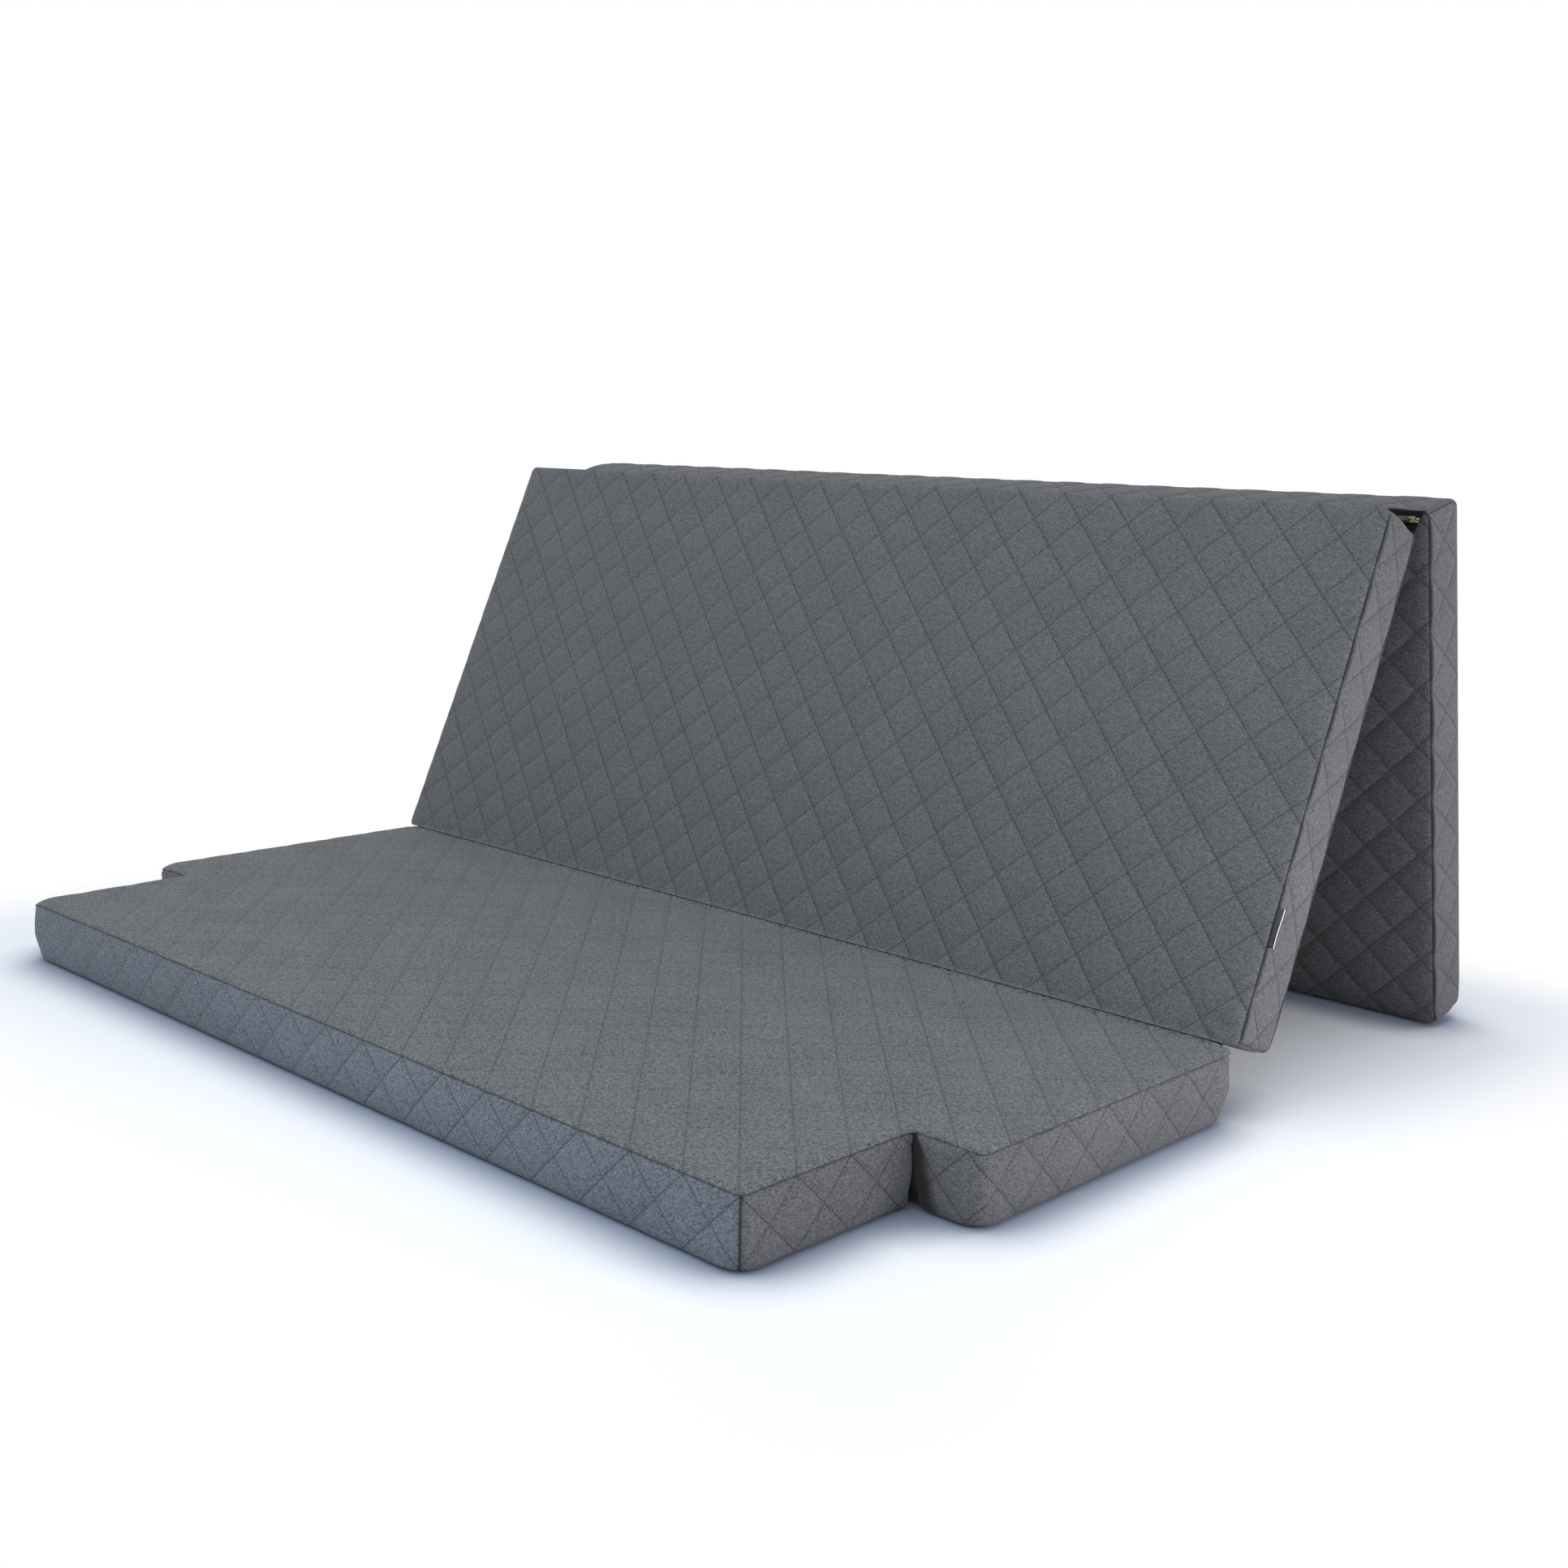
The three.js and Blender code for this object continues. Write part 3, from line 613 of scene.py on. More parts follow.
def outline_path(slab, first, runs, radius=CORNER_RADIUS):
    """Places, outward directions and lengths along an outline, from the middle of the
    corner numbered first, over so many straight runs, to the middle of a corner. Also the
    lengths at the middles of its hollow and of its round corners."""
    corners = plan_corners(slab)
    count = len(corners)
    heading = np.roll(corners, -1, 0) - corners
    heading = heading / np.linalg.norm(heading, axis=1, keepdims=True)
    normal = np.stack([heading[:, 1], -heading[:, 0]], -1)
    at, out, hollow, round_ones = [], [], [], []
    for k in range(runs + 1):
        i = (first + k) % count
        n_in, n_out = normal[i - 1], normal[i]
        if heading[i - 1] @ n_out > 0:
            spread = np.linspace(0, np.pi / 2, 2 * ARC_STEPS + 1)
            if k == 0:
                spread = spread[ARC_STEPS:]
            elif k == runs:
                spread = spread[: ARC_STEPS + 1]
            arc = np.outer(np.cos(spread), n_in) + np.outer(np.sin(spread), n_out)
            centre = corners[i] - radius * (n_in + n_out)
            round_ones.append(len(at) + (0 if k == 0 else ARC_STEPS))
            at.extend(centre + radius * arc)
            out.extend(arc)
        else:
            near = MM / 2
            hollow.append(len(at) + 1)
            at.extend([corners[i] - heading[i - 1] * near, corners[i], corners[i] + heading[i] * near])
            out.extend([n_in, n_in + n_out, n_out])
    at, out = np.array(at), np.array(out)
    length = np.concatenate([[0], np.cumsum(np.linalg.norm(np.diff(at, axis=0), axis=1))])
    return at, out, length, length[hollow], length[round_ones]


def at_lengths(u, length, *paths):
    """Places, or directions, at lengths u along paths given at other lengths."""
    return [np.stack([np.interp(u, length, path[:, axis]) for axis in (0, 1)], -1) for path in paths]


def along_wider(u, slab, first, runs):
    """Places and outward directions on the outline with LOW_RADIUS that belong to lengths
    u on the usual one. Both corners keep their middles, and from where the wider corner
    ends both outlines run level, so that the stitching isn't stretched."""
    _, _, length, _, middles = outline_path(slab, first, runs)
    at, out, wide_length, _, wide_middles = outline_path(slab, first, runs, LOW_RADIUS)
    half_arc = CORNER_RADIUS * np.pi / 4
    leaves, wide_leaves = LOW_RADIUS - CORNER_RADIUS + half_arc, LOW_RADIUS * np.pi / 4
    here = np.concatenate([middles - leaves, middles, middles + leaves])
    there = np.concatenate([wide_middles - wide_leaves, wide_middles, wide_middles + wide_leaves])
    inside = (here > -MM) & (here < length[-1] + MM)
    order = np.argsort(here[inside])
    wide_u = np.interp(u, here[inside][order], there[inside][order])
    return at_lengths(wide_u, wide_length, at, out)


# %% Columns and rows of a band's grid
BAND_LOW = SEAM_LOW + SEAM_GAP
BAND_HIGH = SEAM_HIGH - SEAM_GAP
BAND_ROWS = 20
CURL = 2.0 * MM
END_CURL = 4 * MM
ROLL_UNDER = 10 * MM
UNDER_LOW = 0.5 * MM
UNDER_STEPS = 7
HOLLOW_WIDTH = 5 * MM
NEAR_HOLLOW = np.array([-1.2, -0.7, -0.4, -0.2, 0.2, 0.4, 0.7, 1.2]) * HOLLOW_WIDTH
LEAST_STEP = MM / 20
curl_steps = CURL * roll[[0, 1, 3, 5, 7]]
end_steps = END_CURL * roll[[0, 1, 2, 3, 5, 7]]


def band_columns(length, hollow_at, origin):
    """Lengths along a band at which its grid has a column: in step with the stitching, on
    every arc's points, and close together at both ends and at the hollow corners."""
    start, end = SEAM_GAP, length[-1] - SEAM_GAP
    ticks = np.arange(np.ceil((start - origin) / GRID), (end - origin) / GRID) * GRID + origin
    even = np.concatenate([ticks, length])
    even = even[(even > start + END_CURL) & (even < end - END_CURL)]
    near_hollow = (hollow_at[:, None] + NEAR_HOLLOW).ravel()
    u = np.concatenate([even, start + end_steps, end - end_steps, hollow_at, near_hollow])
    u = np.unique(u.round(6))
    return u[np.append(True, np.diff(u) > LEAST_STEP)]


def band_rows(under):
    """Heights of the grid's rows: even, but close together where the cloth rolls over."""
    top = BAND_HIGH - curl_steps
    bottom = BAND_LOW + curl_steps
    if under:
        swing = np.linspace(0, np.pi / 2, UNDER_STEPS)
        bottom = UNDER_LOW + ROLL_UNDER * (1 - np.sin(swing))[::-1]
    level = np.linspace(BAND_LOW, BAND_HIGH, BAND_ROWS + 1)
    level = level[(level > bottom.max() + MM) & (level < top.min() - MM)]
    return np.sort(np.concatenate([bottom, level, top]))


# %% [markdown]
# ## What shapes a band
#
# A band's depth is a sum of small things, each a formula of the length u along it and
# the height z. It stands back a little from its covers, rounds into every seam, dips to
# a pit where three seams meet, bulges between the seams, sags unevenly and puffs between
# its stitch lines. Everything that bulges fades out toward the seams.
#
# Three places differ. A band that stands on the floor bulges less near its foot, or it
# would sink in. The seat's front band is worn flat toward the left. And at the seat's
# hollow corners the cloth is gathered: the band is pressed in there, deeper toward the
# floor, with a soft lip beside it. The notch that this makes is in deep shade, so a wedge
# of painted shade, as dark as a seam's, is laid into it, wide at the floor and narrow at
# the top.
#
# Two more values say how a band meets its neighbours. Smooth is 1 where it stands level
# with its cover, as inside the cut-aways. Soft marks the half of the seat's front or left
# band that ends at a slack corner, where the end rolls in gently and the shade painted at
# its seam is faint.

# %% Hollow corners
HOLLOW_LOST = 10 * MM
HOLLOW_DEPTH = 9 * MM
HOLLOW_LIP = 1.2 * MM
LIP_PLACE = 1.5 * HOLLOW_WIDTH
STEP_RUN = 70 * MM
WEDGE_WIDTH = 36 * MM
WEDGE_START = 0.01
WEDGE_POWER = 6


def into_step(side, u, spot):
    """How far u lies past the hollow corner at spot, on the side of the cut-away."""
    return (spot - u) * (1 if side == "left" else -1)


def hollow_shapes(side, u, deeper, hollow_at):
    """Shares, from 0 to 1, at the hollow corners: the pit's, the lip's, and the shaded
    wedge's, which also grows with deeper, the share of the way down."""
    pit, lip, wedge = np.zeros_like(u), np.zeros_like(u), np.zeros((len(u), len(deeper)))
    for spot in hollow_at:
        ahead = into_step(side, u, spot)
        before = np.exp(np.minimum(ahead, 0) / HOLLOW_LIP)
        pit = np.maximum(pit, np.where(ahead > 0, np.exp(-(ahead / (2 * HOLLOW_WIDTH)) ** 2), before))
        lip = lip + np.exp(-((ahead + LIP_PLACE) / HOLLOW_WIDTH) ** 2)
        width = WEDGE_WIDTH * np.sqrt(deeper + WEDGE_START)
        spread = np.exp(-(ahead[:, None] / width) ** WEDGE_POWER)
        wedge = np.maximum(wedge, np.where(ahead[:, None] > 0, spread, pit[:, None] * (deeper > 0)))
    return pit[:, None], lip[:, None], wedge


# %% Depth of a band
BAND_SET = 0.9 * MM
SMOOTH_SET = 0.15 * MM
SMOOTH_CURL = 0.7 * MM
BAND_PUFF = 2.3 * MM
FOLD_PUFF = 0.4 * MM
BAND_BULGE = 1.2 * MM
LOW_CALM = 26 * MM
SOFT_CURL = 1.5 * MM
HOLE_WIDTH = 3 * MM
WORN_FROM = -600 * MM
WORN_TO = 150 * MM
WORN_PUFF = 0.4


def quarter(distance, radius):
    """How far a rounded edge falls back, this far before the edge: r (1 - sqrt(1 - c^2))."""
    c = np.clip(1 - distance / radius, 0, 1)
    return radius * (1 - np.sqrt(1 - c**2))


def band_depth(slab, side, u, w, to_end, to_top, to_bottom, smooth, soft, swollen, seed):
    """How far each point lies behind the outline: set back, rounded into the seams, with
    the bulge, the unevenness and the swollen diamonds taken off."""
    under = slab["name"] == "seat"
    curl = np.where(soft, SOFT_CURL, slab["end_curl"])[:, None]
    hole = np.where(soft, 0, slab["hole"])[:, None]
    depth = BAND_SET + (SMOOTH_SET - BAND_SET) * smooth + quarter(to_end, curl)
    depth = depth + quarter(to_top, CURL + (SMOOTH_CURL - CURL) * smooth)
    depth = depth + quarter(to_bottom, ROLL_UNDER if under else CURL)
    depth = depth + hole * np.exp(-(to_end / HOLE_WIDTH) ** 2 - (to_top / (2 * HOLE_WIDTH)) ** 2)
    fade = np.clip(to_end / (3 * CURL), 0, 1) * np.clip(to_top / (2 * CURL), 0, 1)
    on_floor = under or (slab["name"], side) == ("rear", "lower")
    fade = fade * np.clip(to_bottom / (LOW_CALM if on_floor else 2 * CURL), 0, 1)
    uu, ww = np.broadcast_arrays(u[:, None], w[None])
    depth = depth - BAND_BULGE * (1 - (2 * np.clip(ww, -0.5, 0.5)) ** 2) * fade
    depth = depth + SAG * unevenness(uu, ww * PITCH, seed) * fade
    return depth - swollen * fade


# %% Painted shade of a band's seams
END_DARKER = 0.6
HOLLOW_SHADE = 3.4 * MM
HOLLOW_PALE = 4 * MM


def band_seams(slab, to_end, to_top, to_bottom, smooth, soft, wedge):
    """Distance to the nearest seam, as the cloth's third quilt value, which sets the shade painted
    along the seams.
    """
    end_seam = np.where(soft, FAINT, slab["end_seam"])[:, None]
    top_seam = slab["top_seam"] + (FAINT - slab["top_seam"]) * smooth
    nearest = np.minimum(to_end * END_DARKER + end_seam, to_top + top_seam)
    if slab["name"] != "seat":
        nearest = np.minimum(nearest, to_bottom + slab["low_seam"])
    # Inside the wedge the distance goes below zero, which paints deep shade into the notch.
    return np.minimum(nearest, HOLLOW_PALE) - (HOLLOW_PALE + HOLLOW_SHADE) * wedge


# %% Band maker
UNDER_REACH = 14 * MM
LEAST_THICKNESS = 0.4 * MM


def make_band(slab, side, first, runs, origin, puff=BAND_PUFF, seed=1):
    """A closed side band. Origin is the band's length at which a stitch crossing meets
    the upper seam."""
    name = f"{slab['name']}_{side}_band"
    under = slab["name"] == "seat"
    at, out, length, hollow_at, _ = outline_path(slab, first, runs)
    u, z = band_columns(length, hollow_at, origin), band_rows(under)
    place, away = at_lengths(u, length, at, out)
    wide_place, wide_away = along_wider(u, slab, first, runs)
    w = (z - (BAND_LOW + BAND_HIGH) / 2) / (BAND_HIGH - BAND_LOW)
    deeper = np.clip(0.5 - w, 0, 1)

    total, lost, smooth = length[-1], np.zeros_like(u), np.full_like(u, slab["flush"])
    for spot in hollow_at:
        ahead = into_step(side, u, spot)
        lost += HOLLOW_LOST * np.clip((u - spot) / MM, 0, 1)
        smooth = np.maximum(smooth, (ahead > 0) & (ahead < STEP_RUN))
    smooth = smooth[:, None]
    soft = {"front": u < total / 2, "left": u > total / 2}.get(side, u < 0) & under
    q = (u - lost - origin) / PITCH + 0.5
    s, t = q[:, None] + w[None], q[:, None] - w[None]
    if side == "front":
        puff = puff * np.interp(place[:, 0], (WORN_FROM, WORN_TO), (WORN_PUFF, 1))[:, None]

    to_end = np.minimum(u - SEAM_GAP, total - SEAM_GAP - u)[:, None]
    to_top = BAND_HIGH - z[None]
    to_bottom = z[None] - (UNDER_LOW if under else BAND_LOW)
    distances = to_end, to_top, to_bottom
    pit, lip, wedge = hollow_shapes(side, u, deeper, hollow_at)
    depth = band_depth(slab, side, u, w, *distances, smooth, soft, puff * swell(s, t), seed)
    depth = depth + (HOLLOW_DEPTH * pit - HOLLOW_LIP * lip) * deeper

    inner = np.array([(COVER, BAND_HIGH), (COVER, BAND_LOW)])
    if under:
        below = [(UNDER_REACH, BAND_LOW - 2 * SEAM_GAP), (UNDER_REACH, UNDER_LOW)]
        inner = np.concatenate([inner, below])
    limit = np.where(z < BAND_LOW, UNDER_REACH, COVER) + HOLLOW_DEPTH * pit * deeper
    depth = np.minimum(depth, limit - LEAST_THICKNESS)
    behind = inner[:, 0] + HOLLOW_DEPTH * pit * (inner[:, 1] < BAND_HIGH)
    depth = np.concatenate([depth, behind], 1)[..., None]
    height = np.tile(np.concatenate([z, inner[:, 1]]), (len(u), 1))[..., None]
    share = np.clip(1 - 2 * height / BAND_HIGH, 0, 1) if under else 0
    plan = (1 - share) * (place[:, None] - depth * away[:, None])
    plan = plan + share * (wide_place[:, None] - depth * wide_away[:, None])
    points = np.concatenate([plan, height], -1)

    count = points.shape[1]
    index = np.arange(points.shape[0] * count).reshape(-1, count)
    falling = np.zeros((len(u) - 1, count), bool)
    falling[:, : len(z) - 1] = falling_cells(s, t)
    faces = grid_faces(np.concatenate([index, index[:, :1]], 1), falling).reshape(-1, 3)
    points = points.reshape(-1, 3)
    for k in (0, -1):
        onward = np.array([-out[k, 1], out[k, 0], 0])
        faces = np.concatenate([faces, cap(points, index[k], onward if k else -onward)])
    quilt = np.full((len(u), count, 3), NO_STITCH)
    quilt[:, : len(z), 0], quilt[:, : len(z), 1] = s, t
    quilt[:, : len(z), 2] = band_seams(slab, *distances, smooth, soft, wedge)
    quilt[:, len(z):, 2] = 0
    uv = np.stack([np.tile(u[:, None], (1, count)), height[..., 0]], -1).reshape(-1, 2)
    points = slumped(slab, points)
    piece = put_mesh(name + "_quilt", to_world(slab["place"], points), faces, uv, quilt.reshape(-1, 3))
    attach(piece, slab["body"])
    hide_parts(name)
    return piece


# %% [markdown]
# ## Cloth
#
# The cloth is a melange weave: dark and light grey fibres are mixed before spinning, so
# each thread changes shade along its length. A flat grey would look like paint. Two
# noises stretched along the two thread directions give the short streaks, a third gives
# small mottling and a fourth wide patches. Their sum picks a shade between dark and
# light. A fifth noise tints some fibres warm and some cool, and a product of two waves
# gives the weave's bumps.
#
# The stitching is drawn where the quilt vector's counts are whole: dashes of thread, in a
# crease with painted shade. The third value paints shade on the cloth toward a seam, for
# the shadow in its groove, and where it is well below zero the painted shade goes almost
# black, as deep in a fold. Pattern and weave both follow the cloth, never the room, so they
# stay in place when a slab folds.

# %% Node helpers
def new_material(name):
    """An empty node material with its shader and output joined; returns what is needed."""
    material = bpy.data.materials.new(name)
    material.use_nodes = True
    tree = material.node_tree
    shader = tree.nodes["Principled BSDF"]
    return material, tree, shader


def node(tree, kind, inputs=None, **settings):
    """Adds a node, sets its properties, and gives its sockets values or links."""
    made = tree.nodes.new("ShaderNode" + kind)
    for key, value in settings.items():
        setattr(made, key, value)
    for key, value in (inputs or {}).items():
        if isinstance(value, bpy.types.NodeSocket):
            tree.links.new(value, made.inputs[key])
        else:
            made.inputs[key].default_value = value
    return made


def maths(tree, operation, *values):
    """One Math node, as a socket."""
    return node(tree, "Math", dict(enumerate(values)), operation=operation).outputs[0]


def vector(tree, operation, *values):
    """One Vector Math node, as a socket."""
    return node(tree, "VectorMath", dict(enumerate(values)), operation=operation).outputs[0]


def mix(tree, factor, a, b, blend="MIX"):
    """One colour mix, as a socket."""
    return node(tree, "Mix", {0: factor, 6: a, 7: b}, data_type="RGBA", blend_type=blend).outputs[2]


def ranged(tree, value, start=0.0, end=1.0, first=0.0, last=1.0, smooth=False):
    """A value from start to end, turned into one from first to last, as a socket."""
    kind = "SMOOTHSTEP" if smooth else "LINEAR"
    inputs = {0: value, 1: start, 2: end, 3: first, 4: last}
    return node(tree, "MapRange", inputs, interpolation_type=kind).outputs[0]


def parted(tree, value):
    """The three parts of a vector, as sockets."""
    return node(tree, "SeparateXYZ", {0: value}).outputs


def noise(tree, place, scale, detail=2.0):
    """A noise's value at a place; scale is in features to a metre."""
    return node(tree, "TexNoise", {"Vector": place, "Scale": scale, "Detail": detail}).outputs["Fac"]


def streaks(tree, uv, along, across, detail=2.0):
    """Noise stretched along one thread direction; sizes are features to a metre."""
    return noise(tree, vector(tree, "MULTIPLY", uv, (along, across, 1)), 1.0, detail)


def raised(tree, shader, height, strength, distance):
    """Bumps on the surface: a height from 0 to 1 stands for this distance."""
    bump = node(tree, "Bump", {"Strength": strength, "Distance": distance, "Height": height})
    tree.links.new(bump.outputs[0], shader.inputs["Normal"])


def srgb(r, g, b):
    """A colour seen on screen, 0 to 255, as linear light."""
    c = np.array([r, g, b]) / 255
    return (*np.where(c <= 0.04045, c / 12.92, ((c + 0.055) / 1.055) ** 2.4), 1.0)


def shaded(colour, share):
    """A colour made darker, or lighter where the share is over 1."""
    return tuple(np.array(colour[:3]) * share) + (1,)


# %% Melange fibres
WEFT_STREAKS = (240, 640)
WARP_STREAKS = (620, 300)
MOTTLES = (130, 150, 3.0)
PATCHES = (9, 12)
WARP_SHARE = 0.8
MOTTLE_SHARE = 0.4
PATCH_SHARE = 0.15
FIBRE_GAIN = 2.4
ODD_FIBRES = (330, 360)
ODD_LOW = 0.35
ODD_HIGH = 0.65
WARM_FIBRE = (1.04, 1.0, 0.97, 1)
COOL_FIBRE = (0.96, 1.0, 1.03, 1)


def melange(tree, uv, base, contrast):
    """The fibres' colour, the level from 0 to 1 that gave it, and the sum of the noises:
    base * (1 - 2 contrast) at level 0, and base * (1 + 2 contrast) at level 1."""
    fibres = streaks(tree, uv, *WEFT_STREAKS)
    for sizes, share in ((WARP_STREAKS, WARP_SHARE), (MOTTLES, MOTTLE_SHARE), (PATCHES, PATCH_SHARE)):
        layer = maths(tree, "MULTIPLY", streaks(tree, uv, *sizes), share)
        fibres = maths(tree, "ADD", fibres, layer)
    middle = (1 + WARP_SHARE + MOTTLE_SHARE + PATCH_SHARE) / 2
    level = maths(tree, "MULTIPLY_ADD", fibres, FIBRE_GAIN, 0.5 - FIBRE_GAIN * middle)
    level = node(tree, "Clamp", {0: level}).outputs[0]
    colour = mix(tree, level, shaded(base, 1 - 2 * contrast), shaded(base, 1 + 2 * contrast))
    odd = ranged(tree, streaks(tree, uv, *ODD_FIBRES), ODD_LOW, ODD_HIGH)
    hue = mix(tree, odd, WARM_FIBRE, COOL_FIBRE)
    return mix(tree, 1.0, colour, hue, blend="MULTIPLY"), level, fibres


# %% Stitches
STITCH_LINE = 0.9 * MM
STITCH_CORE = 0.4 * STITCH_LINE
FOLD_LINE = 3.5 * STITCH_LINE
LINE_SPACE = PITCH / np.sqrt(2)
STITCHES = 11
DASH = 0.68
WORN_FLAT = 0.4


def stitching(tree, counts, second):
    """Where the thread shows, and the crease that it lies in, which gets painted shade, each
    from 0 to 1. PINGPONG gives how far a count is from a whole number, and FRACT how far
    into a stitch it is."""
    marks, folds = [], []
    for count, along, strength in ((counts[0], counts[1], 1.0), (counts[1], counts[0], second)):
        off = maths(tree, "MULTIPLY", maths(tree, "PINGPONG", count, 0.5), LINE_SPACE)
        line = ranged(tree, off, STITCH_CORE, STITCH_LINE, first=1.0, last=0.0, smooth=True)
        dash = maths(tree, "FRACT", maths(tree, "MULTIPLY", along, STITCHES))
        dash = maths(tree, "LESS_THAN", dash, DASH)
        marks.append(maths(tree, "MULTIPLY", maths(tree, "MULTIPLY", line, dash), np.sqrt(strength)))
        fold = ranged(tree, off, 0.0, FOLD_LINE, first=1.0, last=0.0, smooth=True)
        folds.append(maths(tree, "MULTIPLY", fold, strength))
    return maths(tree, "MAXIMUM", *marks), maths(tree, "MAXIMUM", *folds)


def worn_to_left(tree, values):
    """Values that fade toward the mattress's left, where the stitching is worn flat."""
    across = parted(tree, node(tree, "TexCoord").outputs["Object"])[0]
    fresh = ranged(tree, across, WORN_FROM, WORN_TO, first=WORN_FLAT)
    return [maths(tree, "MULTIPLY", value, fresh) for value in values]


# %% Bumps of the cloth
THREADS = 900
WEAVE_HEIGHT = 0.12
FIBRE_HEIGHT = 0.2
GATHERS = (160, 150)
GATHER_HEIGHT = 1.3
CALM_HEIGHT = 0.12
STITCH_SINK = 1.2


def cloth_bumps(tree, uv, fibres, stitch, fold):
    """Weave and fibres, gathers that are stronger in a crease, and stitches sunk in."""
    ways = parted(tree, vector(tree, "MULTIPLY", uv, (THREADS * 2 * np.pi,) * 3))
    weave = maths(tree, "MULTIPLY", maths(tree, "SINE", ways[0]), maths(tree, "SINE", ways[1]))
    hairs = maths(tree, "MULTIPLY", fibres, FIBRE_HEIGHT)
    fine = maths(tree, "MULTIPLY_ADD", weave, WEAVE_HEIGHT, hairs)
    pull = maths(tree, "MULTIPLY_ADD", fold, GATHER_HEIGHT, CALM_HEIGHT)
    gathers = maths(tree, "MULTIPLY", streaks(tree, uv, *GATHERS), pull)
    bumps = maths(tree, "ADD", fine, gathers)
    return maths(tree, "SUBTRACT", bumps, maths(tree, "MULTIPLY", stitch, STITCH_SINK))


# %% Melange cloth
# The seam and deep ranges set where shade is painted toward seams and into notches.
SEAM_FROM = -1 * MM
SEAM_TO = 2.5 * MM
DEEP_FROM = -3.2 * MM
DEEP_TO = -0.8 * MM
THREAD_AND_SHADE_SHARE = 0.30
DEEP_SHADE_SHARE = 0.08
SEAM_SHADE = 0.55
DEEP_SHADE = 0.85


def cloth(name, shade, contrast=0.17, stitch_depth=0.85, crease_shade=0.16, second=1.0, seed=0.0,
          worn_left=False):
    """Melange cloth about one shade, with the quilting's stitches on it, and painted shade in
    its creases, toward its seams and deep in its notches. Second is how strongly the second
    direction of stitching shows. Where the left is worn flat, the stitching fades towards it."""
    material, tree, shader = new_material(name)
    uv = node(tree, "UVMap", uv_map="cloth").outputs[0]
    uv = vector(tree, "ADD", uv, (seed, seed / 3, 0))
    base = srgb(*shade)
    colour, level, fibres = melange(tree, uv, base, contrast)
    quilt = parted(tree, node(tree, "Attribute", attribute_name="quilt").outputs["Vector"])
    stitch, fold = stitching(tree, quilt, second)
    if worn_left:
        stitch, fold = worn_to_left(tree, (stitch, fold))
    seam = ranged(tree, quilt[2], SEAM_FROM, SEAM_TO, first=1.0, last=0.0, smooth=True)
    deep = ranged(tree, quilt[2], DEEP_FROM, DEEP_TO, first=1.0, last=0.0)
    # The fold, seam and deep masks paint shade into creases, along seams and into notches; the stitch
    # mask darkens the dashes of thread.
    for mask, depth, share in ((fold, crease_shade, THREAD_AND_SHADE_SHARE), (stitch, stitch_depth, THREAD_AND_SHADE_SHARE),
                               (seam, SEAM_SHADE, THREAD_AND_SHADE_SHARE), (deep, DEEP_SHADE, DEEP_SHADE_SHARE)):
        colour = mix(tree, maths(tree, "MULTIPLY", mask, depth), colour, shaded(base, share))
    tree.links.new(colour, shader.inputs["Base Color"])
    bumps = cloth_bumps(tree, uv, fibres, stitch, fold)
    raised(tree, shader, bumps, strength=0.55, distance=0.5 * MM)
    tree.links.new(ranged(tree, level, first=0.97, last=0.86), shader.inputs["Roughness"])
    shader.inputs["Sheen Weight"].default_value = 0.12
    shader.inputs["Sheen Roughness"].default_value = 0.5
    shader.inputs["Specular IOR Level"].default_value = 0.25
    return material


# %% Cloths of the slabs
# One grey cloth in several shades: the front band's lighter, bluer grey is painted light from the
# floor, and the end bands' and under covers' darker greys are painted shade.
SLEEP_GREY = (96, 98, 100)
FRONT_LIT_GREY = (100, 107, 115)
SIDE_GREY = (98, 98, 100)
END_SHADED_GREY = (91, 91, 94)
UNDER_SHADED_GREY = (80, 79, 82)
seat_cloth = cloth("melange seat cloth", SLEEP_GREY, contrast=0.31, stitch_depth=0.7, crease_shade=0.1,
                   second=SEAT_SECOND, worn_left=True)
top_cloth = cloth("melange backrest cloth", SLEEP_GREY, second=BACK_SECOND)
lit_front_cloth = cloth("melange front band cloth with painted floor light", FRONT_LIT_GREY, contrast=0.22, seed=3.0, worn_left=True)
side_cloth = cloth("melange side band cloth", SIDE_GREY, contrast=0.19, seed=5.0)
shaded_end_cloth = cloth("melange end band cloth with painted shade", END_SHADED_GREY, seed=9.0)
shaded_under_cloth = cloth("melange under cloth with painted shade", UNDER_SHADED_GREY, contrast=0.22, seed=7.0)
print(len(bpy.data.materials), "materials so far")


def finish_piece(piece, material):
    """Gives a piece its material."""
    piece.data.materials.append(material)
    return piece


# %% [markdown]
# ## Dressing the slabs
#
# Each cover and band now takes one call. What a call has to say is where the band starts
# on its slab's outline, and the origin of its stitching: the length along the band at
# which a crossing meets the upper seam. On the real mattress the zigzag of a band runs on
# from the diamonds of the cover above it, so the origins are worked out from the same
# places as the covers' own crossings.
#
# The seat's under cover is smaller than its slab by as much as the bands roll under it.

# %% Covers and bands of the seat
finish_piece(make_cover(seat_top, "seat_sleep_cover", form=SAT_ON, seed=11), seat_cloth)
corner_arc = CORNER_RADIUS * np.pi / 4
side_start = corner_arc - CORNER_RADIUS
front_origin = FRONT_WIDTH / 2 + side_start + PITCH / 2
made = make_band(seat, "front", 0, 1, front_origin, seed=12)
finish_piece(made, lit_front_cloth)
made = make_band(seat, "right", 1, 3, side_start, seed=13)
finish_piece(made, side_cloth)
made = make_band(seat, "rear", 4, 1, 0, puff=FOLD_PUFF, seed=14)
finish_piece(made, lit_front_cloth)
left_total = outline_path(seat, 5, 3)[2][-1]
made = make_band(seat, "left", 5, 3, left_total - HOLLOW_LOST - side_start, seed=15)
finish_piece(made, side_cloth)

